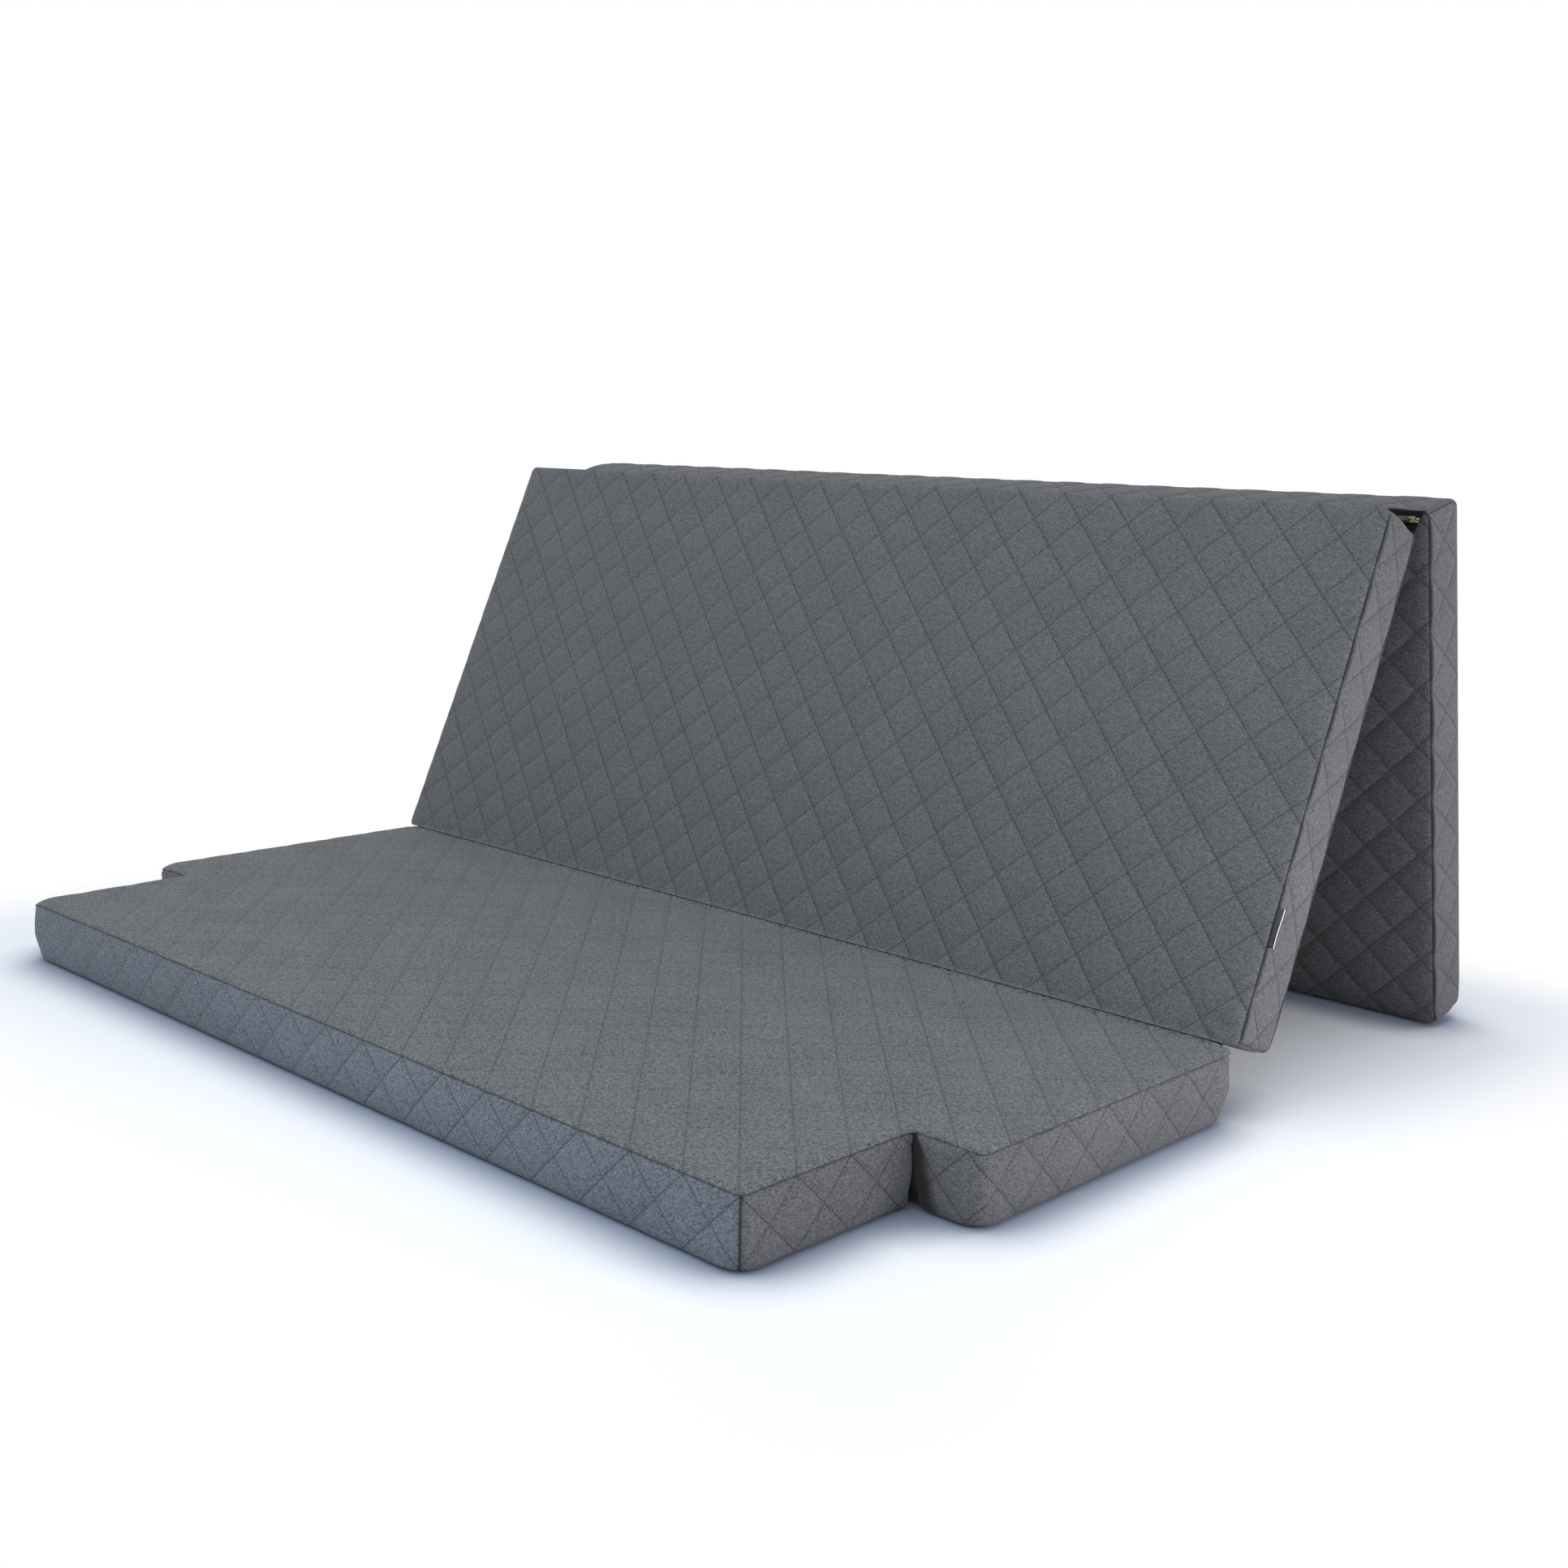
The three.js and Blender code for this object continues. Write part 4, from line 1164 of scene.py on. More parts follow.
base_in = UNDER_REACH + MM
seat_base = dict(
    seat, slack_corners=[], half=seat["half"] - base_in, front_half=seat["front_half"] - base_in,
    length=SEAT_LENGTH - 2 * base_in, radius=LOW_RADIUS - base_in,
    place=(seat["place"][0], seat["place"][1] + np.array([0, base_in, 0])),
)
made = make_cover(seat_base, "seat_under_cover", True, PRESSED, seed=16)
finish_piece(made, shaded_under_cloth)

# %% Covers and bands of the backrest and the rear slab
FLOOR_CLEAR = 0.5 * MM
rear_base = dict(rear, length=REAR_LENGTH - FLOOR_CLEAR)
end_origin = WIDTH / 2 + side_start + PITCH / 2
for slab, top_slab, base_slab, sides, seed in (
        (back, back_top, back, ("lower", "right", "upper", "left"), 20),
        (rear, rear, rear_base, ("upper", "right", "lower", "left"), 30)):
    made = make_cover(top_slab, slab["name"] + "_sleep_cover", False, LEANED_ON, seed)
    finish_piece(made, top_cloth)
    made = make_cover(base_slab, slab["name"] + "_under_cover", True, PUFFED, seed + 1)
    finish_piece(made, shaded_under_cloth)
    right_origin = side_start + slab["start"]
    left_origin = side_start + slab["length"] - slab["start"]
    for k, (side, origin) in enumerate(zip(sides, (end_origin, right_origin, end_origin, left_origin))):
        puff = FOLD_PUFF if slab is back and side == "lower" else BAND_PUFF
        made = make_band(slab, side, k, 1, origin, puff, seed + 2 + k)
        finish_piece(made, side_cloth if side in ("right", "left") else shaded_end_cloth)

# %% [markdown]
# ## Foam inside
#
# The foam blocks can't be seen while the covers are closed, but they are what gives each
# slab its shape, and they are pieces of the model. Each is the slab's outline drawn in by
# the cover's thickness, with cut edges that are a little rounded. Rings of points on that
# outline, stacked and joined, are enough for it. Open-cell foam is cream with small dark
# pores, which a cell pattern gives, both as colour and as pits.

# %% Foam blocks
FOAM_CLEAR = 0.5 * MM
FOAM_EDGE = 3 * MM
FOAM_HOLLOW = 10 * MM
FOAM_PALE = (236, 229, 205)
FOAM_DARK = (226, 216, 186)
PORE_COLOUR = (188, 176, 140)
PORES = 700.0
CLOUDS = 14.0


def foam_look():
    """Pale open-cell foam: small dark pores in a cream colour, with a pitted surface."""
    material, tree, shader = new_material("cut foam")
    place = node(tree, "TexCoord").outputs["Object"]
    pores = node(tree, "TexVoronoi", {"Vector": place, "Scale": PORES}).outputs["Distance"]
    colour = mix(tree, noise(tree, place, CLOUDS), srgb(*FOAM_PALE), srgb(*FOAM_DARK))
    colour = mix(tree, maths(tree, "MULTIPLY", pores, 0.5), srgb(*PORE_COLOUR), colour)
    tree.links.new(colour, shader.inputs["Base Color"])
    raised(tree, shader, pores, strength=0.5, distance=0.4 * MM)
    shader.inputs["Roughness"].default_value = 0.95
    return material


def make_foam(slab):
    """A closed block: four rings of the outline, drawn in and stacked, with two caps."""
    name = f"{slab['name']}_foam_core"
    at, out, length, hollow_at, _ = outline_path(slab, 0, len(plan_corners(slab)), FOAM_RADIUS)
    at, out, length = at[:-1], out[:-1], length[:-1]
    for spot in hollow_at:
        at = at - np.where(length == spot, FOAM_HOLLOW, 0)[:, None] * out
        keep = (length == spot) | (abs(length - spot) > MM)
        at, out, length = at[keep], out[keep], length[keep]
    low, high = SEAM_LOW + FOAM_CLEAR, SEAM_HIGH - FOAM_CLEAR
    side = COVER + FOAM_CLEAR
    rings = [(side + FOAM_EDGE, low), (side, low + FOAM_EDGE),
             (side, high - FOAM_EDGE), (side + FOAM_EDGE, high)]
    points = [np.column_stack([at - depth * out, np.full(len(at), z)]) for depth, z in rings]
    points = np.concatenate(points)
    index = np.arange(len(points)).reshape(len(rings), -1)
    ends = [cap(points, index[0], (0, 0, -1)), cap(points, index[-1], (0, 0, 1))]
    faces = np.concatenate([tube_faces(index)[:, ::-1], *ends])
    points = slumped(slab, points)
    piece = put_mesh(name + "_block", to_world(slab["place"], points), faces)
    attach(piece, slab["body"])
    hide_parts(name)
    return piece


foam = foam_look()
for slab in (seat, back, rear):
    finish_piece(make_foam(slab), foam)

# %% [markdown]
# ## Seat fold
#
# A strip of plain cloth joins the seat's upper seam to the backrest's. It lies inside the
# fold, in an arc round the line that the backrest turns about, so it is made as that arc
# with a thickness.
#
# The strip, the zip's tapes and the hem are all one section carried across the mattress,
# so they share one helper. Their cloth is plain: fine slanting ribs, which are a sine of
# the two thread directions added, with faint streaks and a little fading.

# %% Plain cloth
RIB_STREAKS = (300, 1500)
FADING = (12, 40)
PLAIN_GAIN = 0.9
PLAIN_SHIFT = -0.85
PLAIN_DARK = 0.7
PLAIN_PALE = 1.35
RIBS = 5600
RIB_HEIGHT = 0.3


def plain_cloth(name, shade, seed=0.0):
    """Tightly woven cloth of one shade: fine ribs, with faint streaks and a little fading."""
    material, tree, shader = new_material(name)
    uv = node(tree, "UVMap", uv_map="cloth").outputs[0]
    uv = vector(tree, "ADD", uv, (seed, seed, 0))
    fibres = maths(tree, "ADD", streaks(tree, uv, *RIB_STREAKS), streaks(tree, uv, *RIB_STREAKS[::-1]))
    fading = streaks(tree, uv, *FADING)
    level = maths(tree, "MULTIPLY_ADD", maths(tree, "ADD", fibres, fading), PLAIN_GAIN, PLAIN_SHIFT)
    level = node(tree, "Clamp", {0: level}).outputs[0]
    base = srgb(*shade)
    tree.links.new(mix(tree, level, shaded(base, PLAIN_DARK), shaded(base, PLAIN_PALE)),
                   shader.inputs["Base Color"])
    ways = parted(tree, vector(tree, "MULTIPLY", uv, (RIBS, RIBS, 1)))
    slant = maths(tree, "SINE", maths(tree, "ADD", ways[0], ways[1]))
    ribs = maths(tree, "MULTIPLY_ADD", slant, RIB_HEIGHT, fibres)
    raised(tree, shader, ribs, strength=0.5, distance=0.3 * MM)
    shader.inputs["Roughness"].default_value = 0.9
    shader.inputs["Sheen Weight"].default_value = 0.02
    shader.inputs["Specular IOR Level"].default_value = 0.12
    return material


# %% Sections carried across the mattress
def outward_faces(points, faces, middle):
    """Faces turned so that the first one looks away from the middle."""
    a, b, c = points[faces[0]]
    if np.cross(b - a, c - a) @ (a - middle) < 0:
        return faces[:, ::-1]
    return faces


def run_across(section, xs, place):
    """A closed section of (y, z) points carried along X, capped at both ends. Returns
    points, faces and a flat UV."""
    section = np.asarray(section)
    count = len(section)
    x = np.repeat(xs, count)
    points = np.column_stack([x, np.tile(section, (len(xs), 1))])
    index = np.arange(len(points)).reshape(-1, count)
    ends = [cap(points, index[0], (-1, 0, 0)), cap(points, index[-1], (1, 0, 0))]
    faces = outward_faces(points, tube_faces(index), points[:count].mean(0))
    faces = np.concatenate([faces, *ends])
    around = np.concatenate([[0], np.cumsum(np.linalg.norm(np.diff(section, axis=0), axis=1))])
    uv = np.column_stack([x, np.tile(around, len(xs))])
    return to_world(place, points), faces, uv


# %% Fold strip
STRIP_RADIUS = COVER + FOLD_HEIGHT
STRIP_THICKNESS = 1 * MM
STRIP_STEPS = 12
STRIP_SHORT = 18 * MM
STRIP_COLUMNS = 200
STRIP_GREY = (78, 80, 82)
lap = np.arcsin((FOLD_GAP - 2 * SEAM_GAP) / STRIP_RADIUS)
sweep = np.linspace(-np.pi / 2 - lap, -np.pi / 2 + back_turn + lap, STRIP_STEPS)
arc = np.stack([np.cos(sweep), np.sin(sweep)], -1)
outside, inside = STRIP_RADIUS + STRIP_THICKNESS / 2, STRIP_RADIUS - STRIP_THICKNESS / 2
section = np.concatenate([arc * outside, arc[::-1] * inside])
strip_half = WIDTH / 2 - STRIP_SHORT
strip_space = (turned(0), seat_line)
strip_xs = np.linspace(-strip_half, strip_half, STRIP_COLUMNS)
points, faces, uv = run_across(section, strip_xs, strip_space)
strip = put_mesh("seat_fold_strip_cloth", points, faces, uv)
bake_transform(strip)
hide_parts("seat_fold_strip")
finish_piece(strip, plain_cloth("fold strip cloth", STRIP_GREY))

# %% [markdown]
# ## Zip
#
# The rear slab zips onto the backrest along the top fold. The zip lies in a plane of its
# own between the backrest's lower seam and the fold's line. Its tapes are woven, its
# coils are wound from plastic wire, and its slider, pull and end stops are metal. Only
# its right end shows in the photograph, but the slider can run its whole length.
#
# A tape's section is a flat strip with round ends, which swells a little along three
# ribs. The hem is the same strip, laid from the rear slab's seam to the fold's line.
#
# A coil could be faked with a bumpy strip. It is a real helix here, because the
# slider's end of it shows from a step away: radius times (cos, sin) of the turn, with
# the turn growing steadily along X.

# %% Zip tapes and hem
TAPE_THICKNESS = 1 * MM
TAPE_END = 2 * MM
TAPE_COLUMNS = 240
TAPE_ROWS = 9
TAPE_RIB = 0.1 * MM
TAPE_ROUND = 6
TAPE_TIP = 0.08
TAPE_BLACK = (7, 7, 8)
COIL_SLIT = 0.9 * MM
FOLD_EASE = 0.2 * MM
zip_rise = COVER + FOLD_HEIGHT
zip_span = np.hypot(ZIP_WIDTH, zip_rise)
zip_axes = turned(back_turn - np.arctan2(zip_rise, ZIP_WIDTH))
zip_place = (zip_axes, top_line - zip_axes[1] * zip_span / 2)
zip_reach = WIDTH / 2 - TAPE_END
tape_cloth = plain_cloth("zip tape cloth", TAPE_BLACK, seed=2.0)


def flat_section(start, end, thickness, bulge):
    """Outline of a flat strip. With g from 0 to 1, its place across is (1 - cos(pi g)) / 2,
    and its half thickness is (thickness / 2 - bulge) sqrt(1 - |2 g - 1|^6), plus ribs of
    bulge sin(3 pi g)^2. The root is kept above TAPE_TIP, so that the ends aren't sharp."""
    share = np.linspace(0, 1, TAPE_ROWS)
    y = start + (end - start) * (1 - np.cos(share * np.pi)) / 2
    full = np.sqrt(np.clip(1 - (2 * share - 1) ** TAPE_ROUND, TAPE_TIP, 1))
    z = (thickness / 2 - bulge) * full + bulge * np.sin(share * np.pi * 3) ** 2
    return np.concatenate([np.stack([y, -z], -1), np.stack([y, z], -1)[::-1]])


tape_xs = np.linspace(-zip_reach, zip_reach, TAPE_COLUMNS)
back_reach = zip_span / 2 - 2 * SEAM_GAP
rear_reach = zip_span / 2 - FOLD_EASE - TAPE_THICKNESS / 2
for side, name, reach in ((-1, "zip_tape_back", back_reach), (1, "zip_tape_rear", rear_reach)):
    section = flat_section(side * COIL_SLIT, side * reach, TAPE_THICKNESS, TAPE_RIB)
    points, faces, uv = run_across(section, tape_xs, zip_place)
    tape = put_mesh(name + "_weave", points, faces, uv)
    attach(tape, "back")
    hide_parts(name)
    finish_piece(tape, tape_cloth)

seam_point = np.array([-2 * SEAM_GAP - TAPE_THICKNESS / 2, COVER])
fold_point = np.array([-HEM_REACH, -FOLD_HEIGHT])
hem_way = (fold_point - seam_point) / np.linalg.norm(fold_point - seam_point)
hem_end = fold_point - hem_way * (FOLD_EASE + TAPE_THICKNESS / 2)
hem_side = np.array([-hem_way[1], hem_way[0]])
hem_length = np.linalg.norm(hem_end - seam_point)
flat = flat_section(0, hem_length, TAPE_THICKNESS, TAPE_RIB)
section = seam_point + flat[:, :1] * hem_way + flat[:, 1:] * hem_side
points, faces, uv = run_across(section, tape_xs, rear["place"])
hem = put_mesh("rear_hem_weave", points, faces, uv)
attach(hem, "rear")
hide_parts("rear_hem")
finish_piece(hem, tape_cloth)


# %% Zip coils
COIL_SIZE = 2.2 * MM
COIL_LOW = 0.8 * MM
COIL_PITCH = 1.5 * MM
COIL_STEPS = 8
WIRE = 0.3 * MM
WIRE_SIDES = 4
STOP_LENGTH = 4 * MM
NYLON_DARK = (30, 31, 33)
NYLON_PALE = (58, 59, 61)
DUST = 220.0


def plastic_look():
    """Dark satin nylon, with the faint drawing lines and dust of a used zip."""
    material, tree, shader = new_material("coil nylon")
    dust = noise(tree, node(tree, "TexCoord").outputs["Object"], DUST, detail=3.0)
    colour = mix(tree, dust, srgb(*NYLON_DARK), srgb(*NYLON_PALE))
    tree.links.new(colour, shader.inputs["Base Color"])
    tree.links.new(ranged(tree, dust, first=0.35, last=0.6), shader.inputs["Roughness"])
    raised(tree, shader, dust, strength=0.2, distance=0.05 * MM)
    return material


def make_coil(name, side):
    """A wire wound round a line beside the zip's slit: centre + radius (cos, sin) of the
    turn, with a four-sided ring of wire at each step, closed at both ends."""
    reach = zip_reach - STOP_LENGTH - 2 * SEAM_GAP
    radius = COIL_SIZE / 2 - WIRE
    pitch = COIL_PITCH
    turns = 2 * reach / pitch
    angle = np.linspace(0, turns * 2 * np.pi, int(turns * COIL_STEPS) + 1)
    x = np.linspace(-reach + WIRE, reach - WIRE, len(angle))
    radial = np.stack([np.zeros_like(x), np.cos(angle), np.sin(angle)], -1)
    middle = np.array([0, side * (COIL_SLIT + COIL_SIZE / 2), COIL_LOW + COIL_SIZE / 2])
    centre = middle + x[:, None] * np.array([1, 0, 0]) + radius * radial
    tangent = np.gradient(centre, axis=0)
    tangent /= np.linalg.norm(tangent, axis=1, keepdims=True)
    across = np.cross(tangent, radial)
    corner = (np.arange(WIRE_SIDES) + 0.5) * 2 * np.pi / WIRE_SIDES
    c, s = np.cos(corner)[None, :, None], np.sin(corner)[None, :, None]
    ring = c * radial[:, None] + s * across[:, None]
    points = (centre[:, None] + WIRE * ring).reshape(-1, 3)
    index = np.arange(len(points)).reshape(-1, WIRE_SIDES)
    faces = outward_faces(points, tube_faces(index), centre[0])
    first, last = index[0], index[-1]
    ends = np.array([first[[0, 2, 1]], first[[0, 3, 2]], last[[0, 1, 2]], last[[0, 2, 3]]])
    coil = put_mesh(name + "_wound", to_world(zip_place, points), np.concatenate([faces, ends]))
    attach(coil, "back")
    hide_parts(name)
    return finish_piece(coil, coil_nylon)


coil_nylon = plastic_look()
make_coil("zip_coil_back", -1)
make_coil("zip_coil_rear", 1)


# %% [markdown]
# ## Zip metal
#
# The slider, the pull and the stops keep their solids, whose shapes are right, and only
# get a better finish. The slider and stops are dull brass with a silvery plating that
# has rubbed off in places, which one noise decides, and a noise stretched along X gives
# fine scratches in the roughness. The pull is black enamel, and where its noise is at its
# highest the enamel has chipped and the metal shows.

# %% Zip metal
PLATING = (132, 128, 116)
BARE_BRASS = (106, 93, 66)
WEAR_SPOTS = 420.0
WEAR_FROM = 0.42
WEAR_TO = 0.62
SCRATCHES = (300, 4000, 4000)
ENAMEL_BLACK = (26, 26, 28)
CHIPPED = (118, 101, 66)
CHIPS = 350.0
CHIP_FROM = 0.66
CHIP_TO = 0.72


def metal_look():
    """Dull brass with a silvery plating that has rubbed off in places, and fine scratches."""
    material, tree, shader = new_material("zip brass")
    place = node(tree, "TexCoord").outputs["Object"]
    worn = ranged(tree, noise(tree, place, WEAR_SPOTS, detail=4.0), WEAR_FROM, WEAR_TO)
    tree.links.new(mix(tree, worn, srgb(*PLATING), srgb(*BARE_BRASS)), shader.inputs["Base Color"])
    scratch = noise(tree, vector(tree, "MULTIPLY", place, SCRATCHES), 1.0)
    tree.links.new(ranged(tree, scratch, first=0.35, last=0.6), shader.inputs["Roughness"])
    raised(tree, shader, scratch, strength=0.25, distance=0.05 * MM)
    shader.inputs["Metallic"].default_value = 1.0
    return material


def enamel_look():
    """Black enamel on the pull: glossy, with worn spots where the metal comes through."""
    material, tree, shader = new_material("pull enamel")
    wear = noise(tree, node(tree, "TexCoord").outputs["Object"], CHIPS, detail=5.0)
    worn = ranged(tree, wear, CHIP_FROM, CHIP_TO)
    tree.links.new(mix(tree, worn, srgb(*ENAMEL_BLACK), srgb(*CHIPPED)), shader.inputs["Base Color"])
    tree.links.new(worn, shader.inputs["Metallic"])
    tree.links.new(ranged(tree, wear, first=0.4, last=0.65), shader.inputs["Roughness"])
    raised(tree, shader, worn, strength=0.2, distance=0.05 * MM)
    return material


brass, enamel = metal_look(), enamel_look()
for name in ("zip_left_stop", "zip_right_stop_back", "zip_right_stop_rear", "zip_slider", "zip_pull"):
    nodes[name].data.materials.clear()
    nodes[name].data.materials.append(enamel if name == "zip_pull" else brass)

# %% [markdown]
# ## Side tab
#
# A small folded tab of black satin ribbon is caught in the backrest's right front seam.
# It is blank here. The ribbon runs out of the seam, turns in a tight loop and runs back
# in, so its section is that path with the ribbon's thickness, carried along the slab.
# What stands out of the seam sways a little, which is a part of a sine wave along it.
# Along the ribbon's bend the satin catches the light, so a pale highlight is painted there,
# and the UV marks it with a 1.

# %% Folded tab
TAB_START = 110 * MM
TAB_LENGTH = 44 * MM
TAB_COLUMNS = 23
TAB_PLY = 0.6 * MM
TAB_OUT = 8 * MM
TAB_IN = 4 * MM
TAB_LOOP = 0.8 * MM
TAB_RUN = 6
TAB_BEND = 9
TAB_SWAY = 0.9 * MM
SWAY_WAVES = 0.7
SWAY_SHIFT = 0.4
SWAY_POWER = 1.5
SATIN = (2400, 500)
SATIN_DARK = ((14, 14, 16), (38, 38, 41))
SATIN_HIGHLIGHT = ((196, 198, 202), (238, 240, 243))


def ribbon_look():
    """Black satin ribbon with a pale painted highlight along its bend."""
    material, tree, shader = new_material("tab ribbon")
    uv = node(tree, "UVMap", uv_map="cloth").outputs[0]
    parts = parted(tree, uv)
    fibres = streaks(tree, uv, *SATIN)
    # The bend, marked 1 in the UV, gets the painted highlight.
    rim = maths(tree, "GREATER_THAN", parts[1], 0.5)
    dark, pale = (mix(tree, fibres, srgb(*low), srgb(*high)) for low, high in (SATIN_DARK, SATIN_HIGHLIGHT))
    tree.links.new(mix(tree, rim, dark, pale), shader.inputs["Base Color"])
    raised(tree, shader, fibres, strength=0.3, distance=0.1 * MM)
    shader.inputs["Roughness"].default_value = 0.45
    shader.inputs["Sheen Weight"].default_value = 0.2
    return material


def tab_section(inner, outer):
    """The ribbon's middle line is two straight runs and a half circle; offset by half a
    ply to each side it closes into a section in X and Z."""
    bend = np.linspace(np.pi / 2, -np.pi / 2, TAB_BEND)
    gap = (TAB_LOOP + TAB_PLY) / 2
    run = np.linspace(inner, outer, TAB_RUN + 1)[:-1]
    line = np.concatenate([
        np.stack([run, np.full(TAB_RUN, gap)], -1),
        np.stack([outer + gap * np.cos(bend), gap * np.sin(bend)], -1),
        np.stack([run[::-1], np.full(TAB_RUN, -gap)], -1)])
    way = np.gradient(line, axis=0)
    way /= np.linalg.norm(way, axis=1, keepdims=True)
    side = np.stack([-way[:, 1], way[:, 0]], -1) * TAB_PLY / 2
    return np.concatenate([line + side, (line - side)[::-1]])


def make_tab():
    """The section carried along the slab's Y, swaying more the further out it stands."""
    seam_z = SEAM_HIGH - SEAM_GAP - TAB_PLY - TAB_LOOP / 2
    inner, outer = WIDTH / 2 - TAB_IN, WIDTH / 2 + TAB_OUT - TAB_PLY - TAB_LOOP / 2
    section = tab_section(inner, outer)
    ys = np.linspace(TAB_START, TAB_START + TAB_LENGTH, TAB_COLUMNS)
    loose = np.clip((section[:, 0] - WIDTH / 2) / TAB_OUT, 0, 1) ** SWAY_POWER
    sway = TAB_SWAY * np.sin((ys - TAB_START) / TAB_LENGTH * 2 * np.pi * SWAY_WAVES + SWAY_SHIFT)
    x = np.tile(section[:, 0], (len(ys), 1))
    z = seam_z + section[:, 1][None] + sway[:, None] * loose[None]
    y = np.tile(ys[:, None], (1, len(section)))
    points = np.stack([x, y, z], -1).reshape(-1, 3)
    index = np.arange(len(points)).reshape(len(ys), -1)
    ends = [cap(points, index[0], (0, -1, 0)), cap(points, index[-1], (0, 1, 0))]
    inside = points[0] - (0, 0, TAB_PLY / 2)
    faces = np.concatenate([outward_faces(points, tube_faces(index), inside), *ends])
    # The bend's rim is marked for the painted highlight.
    rim = np.abs(section[:, 0] - section[:, 0].max()) < TAB_PLY
    uv = np.column_stack([points[:, 1], np.tile(np.where(rim, 1.0, section[:, 0] - inner), len(ys))])
    tab = put_mesh("side_label_ribbon", to_world(back["place"], points), faces, uv)
    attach(tab, "back")
    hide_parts("side_label")
    return finish_piece(tab, ribbon_look())


make_tab()

# %% [markdown]
# ## Camera
#
# The camera stands where the photograph's camera stood, which was worked out from the
# mattress's own corners: its place, and the angles that it is turned, lowered and rolled
# by. The three angles give its right, top and backward directions, which are the columns
# of its matrix. A tracking constraint would be shorter, but it couldn't hold the roll.

# %% Camera
CAMERA_PLACE = (1.72, -1.38938, 0.70755)
CAMERA_YAW = 0.76206
CAMERA_PITCH = 0.18267
CAMERA_ROLL = 0.02521
CAMERA_LENS = 43.222
SENSOR_WIDTH = 36
ahead = Vector((-np.sin(CAMERA_YAW) * np.cos(CAMERA_PITCH),
                np.cos(CAMERA_YAW) * np.cos(CAMERA_PITCH), -np.sin(CAMERA_PITCH)))
across = ahead.cross(Vector((0, 0, 1))).normalized()
upward = across.cross(ahead)
right = across * np.cos(CAMERA_ROLL) + upward * np.sin(CAMERA_ROLL)
top = upward * np.cos(CAMERA_ROLL) - across * np.sin(CAMERA_ROLL)
camera_data = bpy.data.cameras.new("camera")
camera_data.lens = CAMERA_LENS
camera_data.sensor_width = SENSOR_WIDTH
camera_data.sensor_fit = "HORIZONTAL"
camera = bpy.data.objects.new("camera", camera_data)
camera_turn = Matrix((right, top, -ahead)).transposed().to_4x4()
camera.matrix_world = Matrix.Translation(CAMERA_PLACE) @ camera_turn
bpy.context.scene.collection.objects.link(camera)
bpy.context.scene.camera = camera
print("camera looks along", *np.round(ahead, 3))

# %% [markdown]
# ## Floor
#
# The floor is pale and plain, and keeps the mattress's soft shadow. Where the mattress
# nearly touches it, a bluer, darker contact shadow is painted into the floor's colour, as in
# the photograph; ambient occlusion over a short distance finds those places. Away from the
# mattress's box the shadow fades, for the camera only, into the white of the background, so
# that no horizon shows. The light that the floor gives back to the mattress stays that of a
# pale floor.

# %% Floor
FLOOR_HALF = 30
FADE_START = 0.06
FADE_END = 0.30
CONTACT = 80 * MM
CONTACT_DARK = 0.5
CONTACT_PALE = 0.95
CONTACT_SAMPLES = 12
FLOOR_SHADOW_COLOUR = (153, 164, 184)
FLOOR_PALE = (248, 250, 255)
floor_points = [(x, y, 0) for x, y in ((-FLOOR_HALF, -FLOOR_HALF), (FLOOR_HALF, -FLOOR_HALF),
                                       (FLOOR_HALF, FLOOR_HALF), (-FLOOR_HALF, FLOOR_HALF))]
floor_mesh = bpy.data.meshes.new("floor")
floor_mesh.from_pydata(floor_points, [], [(0, 1, 2, 3)])
floor = bpy.data.objects.new("floor", floor_mesh)
bpy.context.scene.collection.objects.link(floor)
floor_material, tree, shader = new_material("pale floor")
# Ambient occlusion paints a bluish contact shadow into the floor's colour.
painted_contact_shadow = node(tree, "AmbientOcclusion", {"Distance": CONTACT}, samples=CONTACT_SAMPLES).outputs["AO"]
painted_contact_shadow = ranged(tree, painted_contact_shadow, CONTACT_DARK, CONTACT_PALE)
tree.links.new(mix(tree, painted_contact_shadow, srgb(*FLOOR_SHADOW_COLOUR), srgb(*FLOOR_PALE)), shader.inputs["Base Color"])
shader.inputs["Roughness"].default_value = 0.9
shader.inputs["Specular IOR Level"].default_value = 0.1

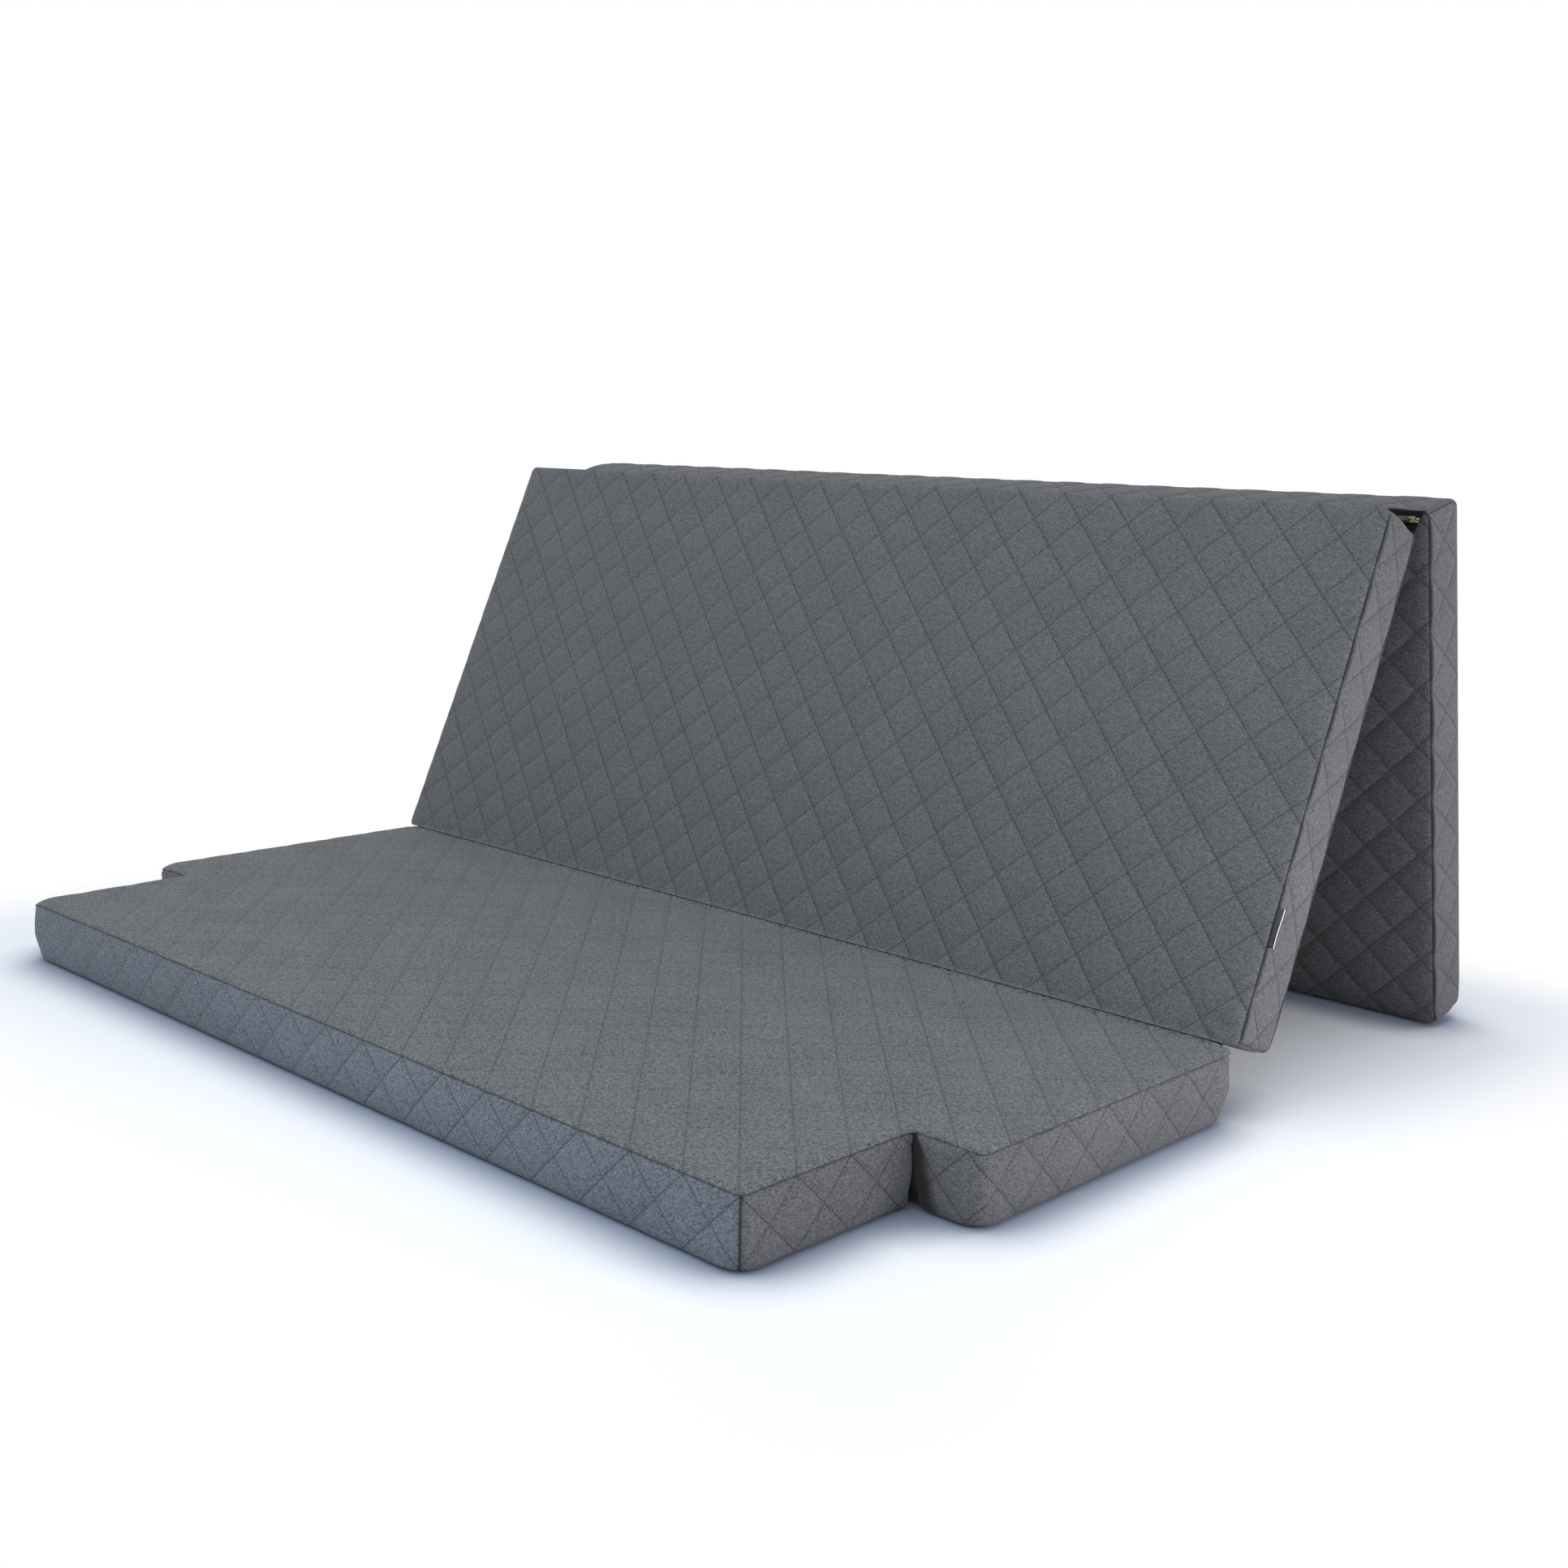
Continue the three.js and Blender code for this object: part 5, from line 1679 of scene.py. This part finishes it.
# %% Fade into the background
WHITE = (1, 1, 1, 1)
middle = ((cad_low[0] + cad_high[0]) / 2, (cad_low[1] + cad_high[1]) / 2, 0)
reach = ((cad_high[0] - cad_low[0]) / 2, (cad_high[1] - cad_low[1]) / 2, 0)
spot = vector(tree, "SUBTRACT", node(tree, "TexCoord").outputs["Object"], middle)
spot = vector(tree, "SUBTRACT", vector(tree, "ABSOLUTE", spot), reach)
spot = vector(tree, "MAXIMUM", spot, (0, 0, 0))
away = node(tree, "VectorMath", {0: spot}, operation="LENGTH").outputs["Value"]
fades = ranged(tree, away, FADE_START, FADE_END, smooth=True)
seen = node(tree, "LightPath").outputs["Is Camera Ray"]
white = node(tree, "Emission", {"Color": WHITE, "Strength": 1.0}).outputs[0]
share = maths(tree, "MULTIPLY", seen, fades)
blend = node(tree, "MixShader", {0: share, 1: shader.outputs[0], 2: white}).outputs[0]
tree.links.new(blend, tree.nodes["Material Output"].inputs["Surface"])
floor_mesh.materials.append(floor_material)
print(f"floor fades to white from {FADE_START} to {FADE_END} m off the mattress's box")


# %% [markdown]
# ## Light
#
# A large soft box overhead gives most of the lamps' light. A small one low on the right
# lifts the side bands there, a little warm, and a small one in front lifts the front
# band, a little cyan. The rest comes from a pale bluish surround, which is what
# a white studio gives back. The camera and glossy rays see that surround as plain white.

# %% Lights
SURROUND = (0.71, 0.745, 0.795, 1)
A_LITTLE_WARM = (1.0, 0.95, 0.92)
A_LITTLE_CYAN = (0.93, 1.0, 1.0)


def soft_box(name, place, target, size, power, colour=(1, 1, 1)):
    """A square area light that faces a target."""
    data = bpy.data.lights.new(name, "AREA")
    data.size, data.energy, data.color = size, power, colour
    light = bpy.data.objects.new(name, data)
    light.location = place
    light.visible_camera = False
    light.rotation_euler = (Vector(target) - Vector(place)).to_track_quat("-Z", "Y").to_euler()
    bpy.context.scene.collection.objects.link(light)
    print(f"{name} light: {size} m wide, {power} W")


soft_box("overhead", (0.2, -0.3, 3.2), (0, 0.1, 0), size=3.0, power=23)
soft_box("right side", (1.5, 0.35, 0.3), (0.7, 0.25, 0.2), size=0.5, power=3.4, colour=A_LITTLE_WARM)
soft_box("front", (0.4, -1.0, 1.0), (0.3, -0.32, 0.06), size=0.5, power=2.8, colour=A_LITTLE_CYAN)
world = bpy.data.worlds.new("surround")
bpy.context.scene.world = world
world.use_nodes = True
tree = world.node_tree
rays = node(tree, "LightPath").outputs
seen = maths(tree, "MAXIMUM", rays["Is Camera Ray"], rays["Is Glossy Ray"])
tree.links.new(mix(tree, seen, SURROUND, WHITE), tree.nodes["Background"].inputs["Color"])
bpy.context.scene.view_settings.view_transform = "Standard"
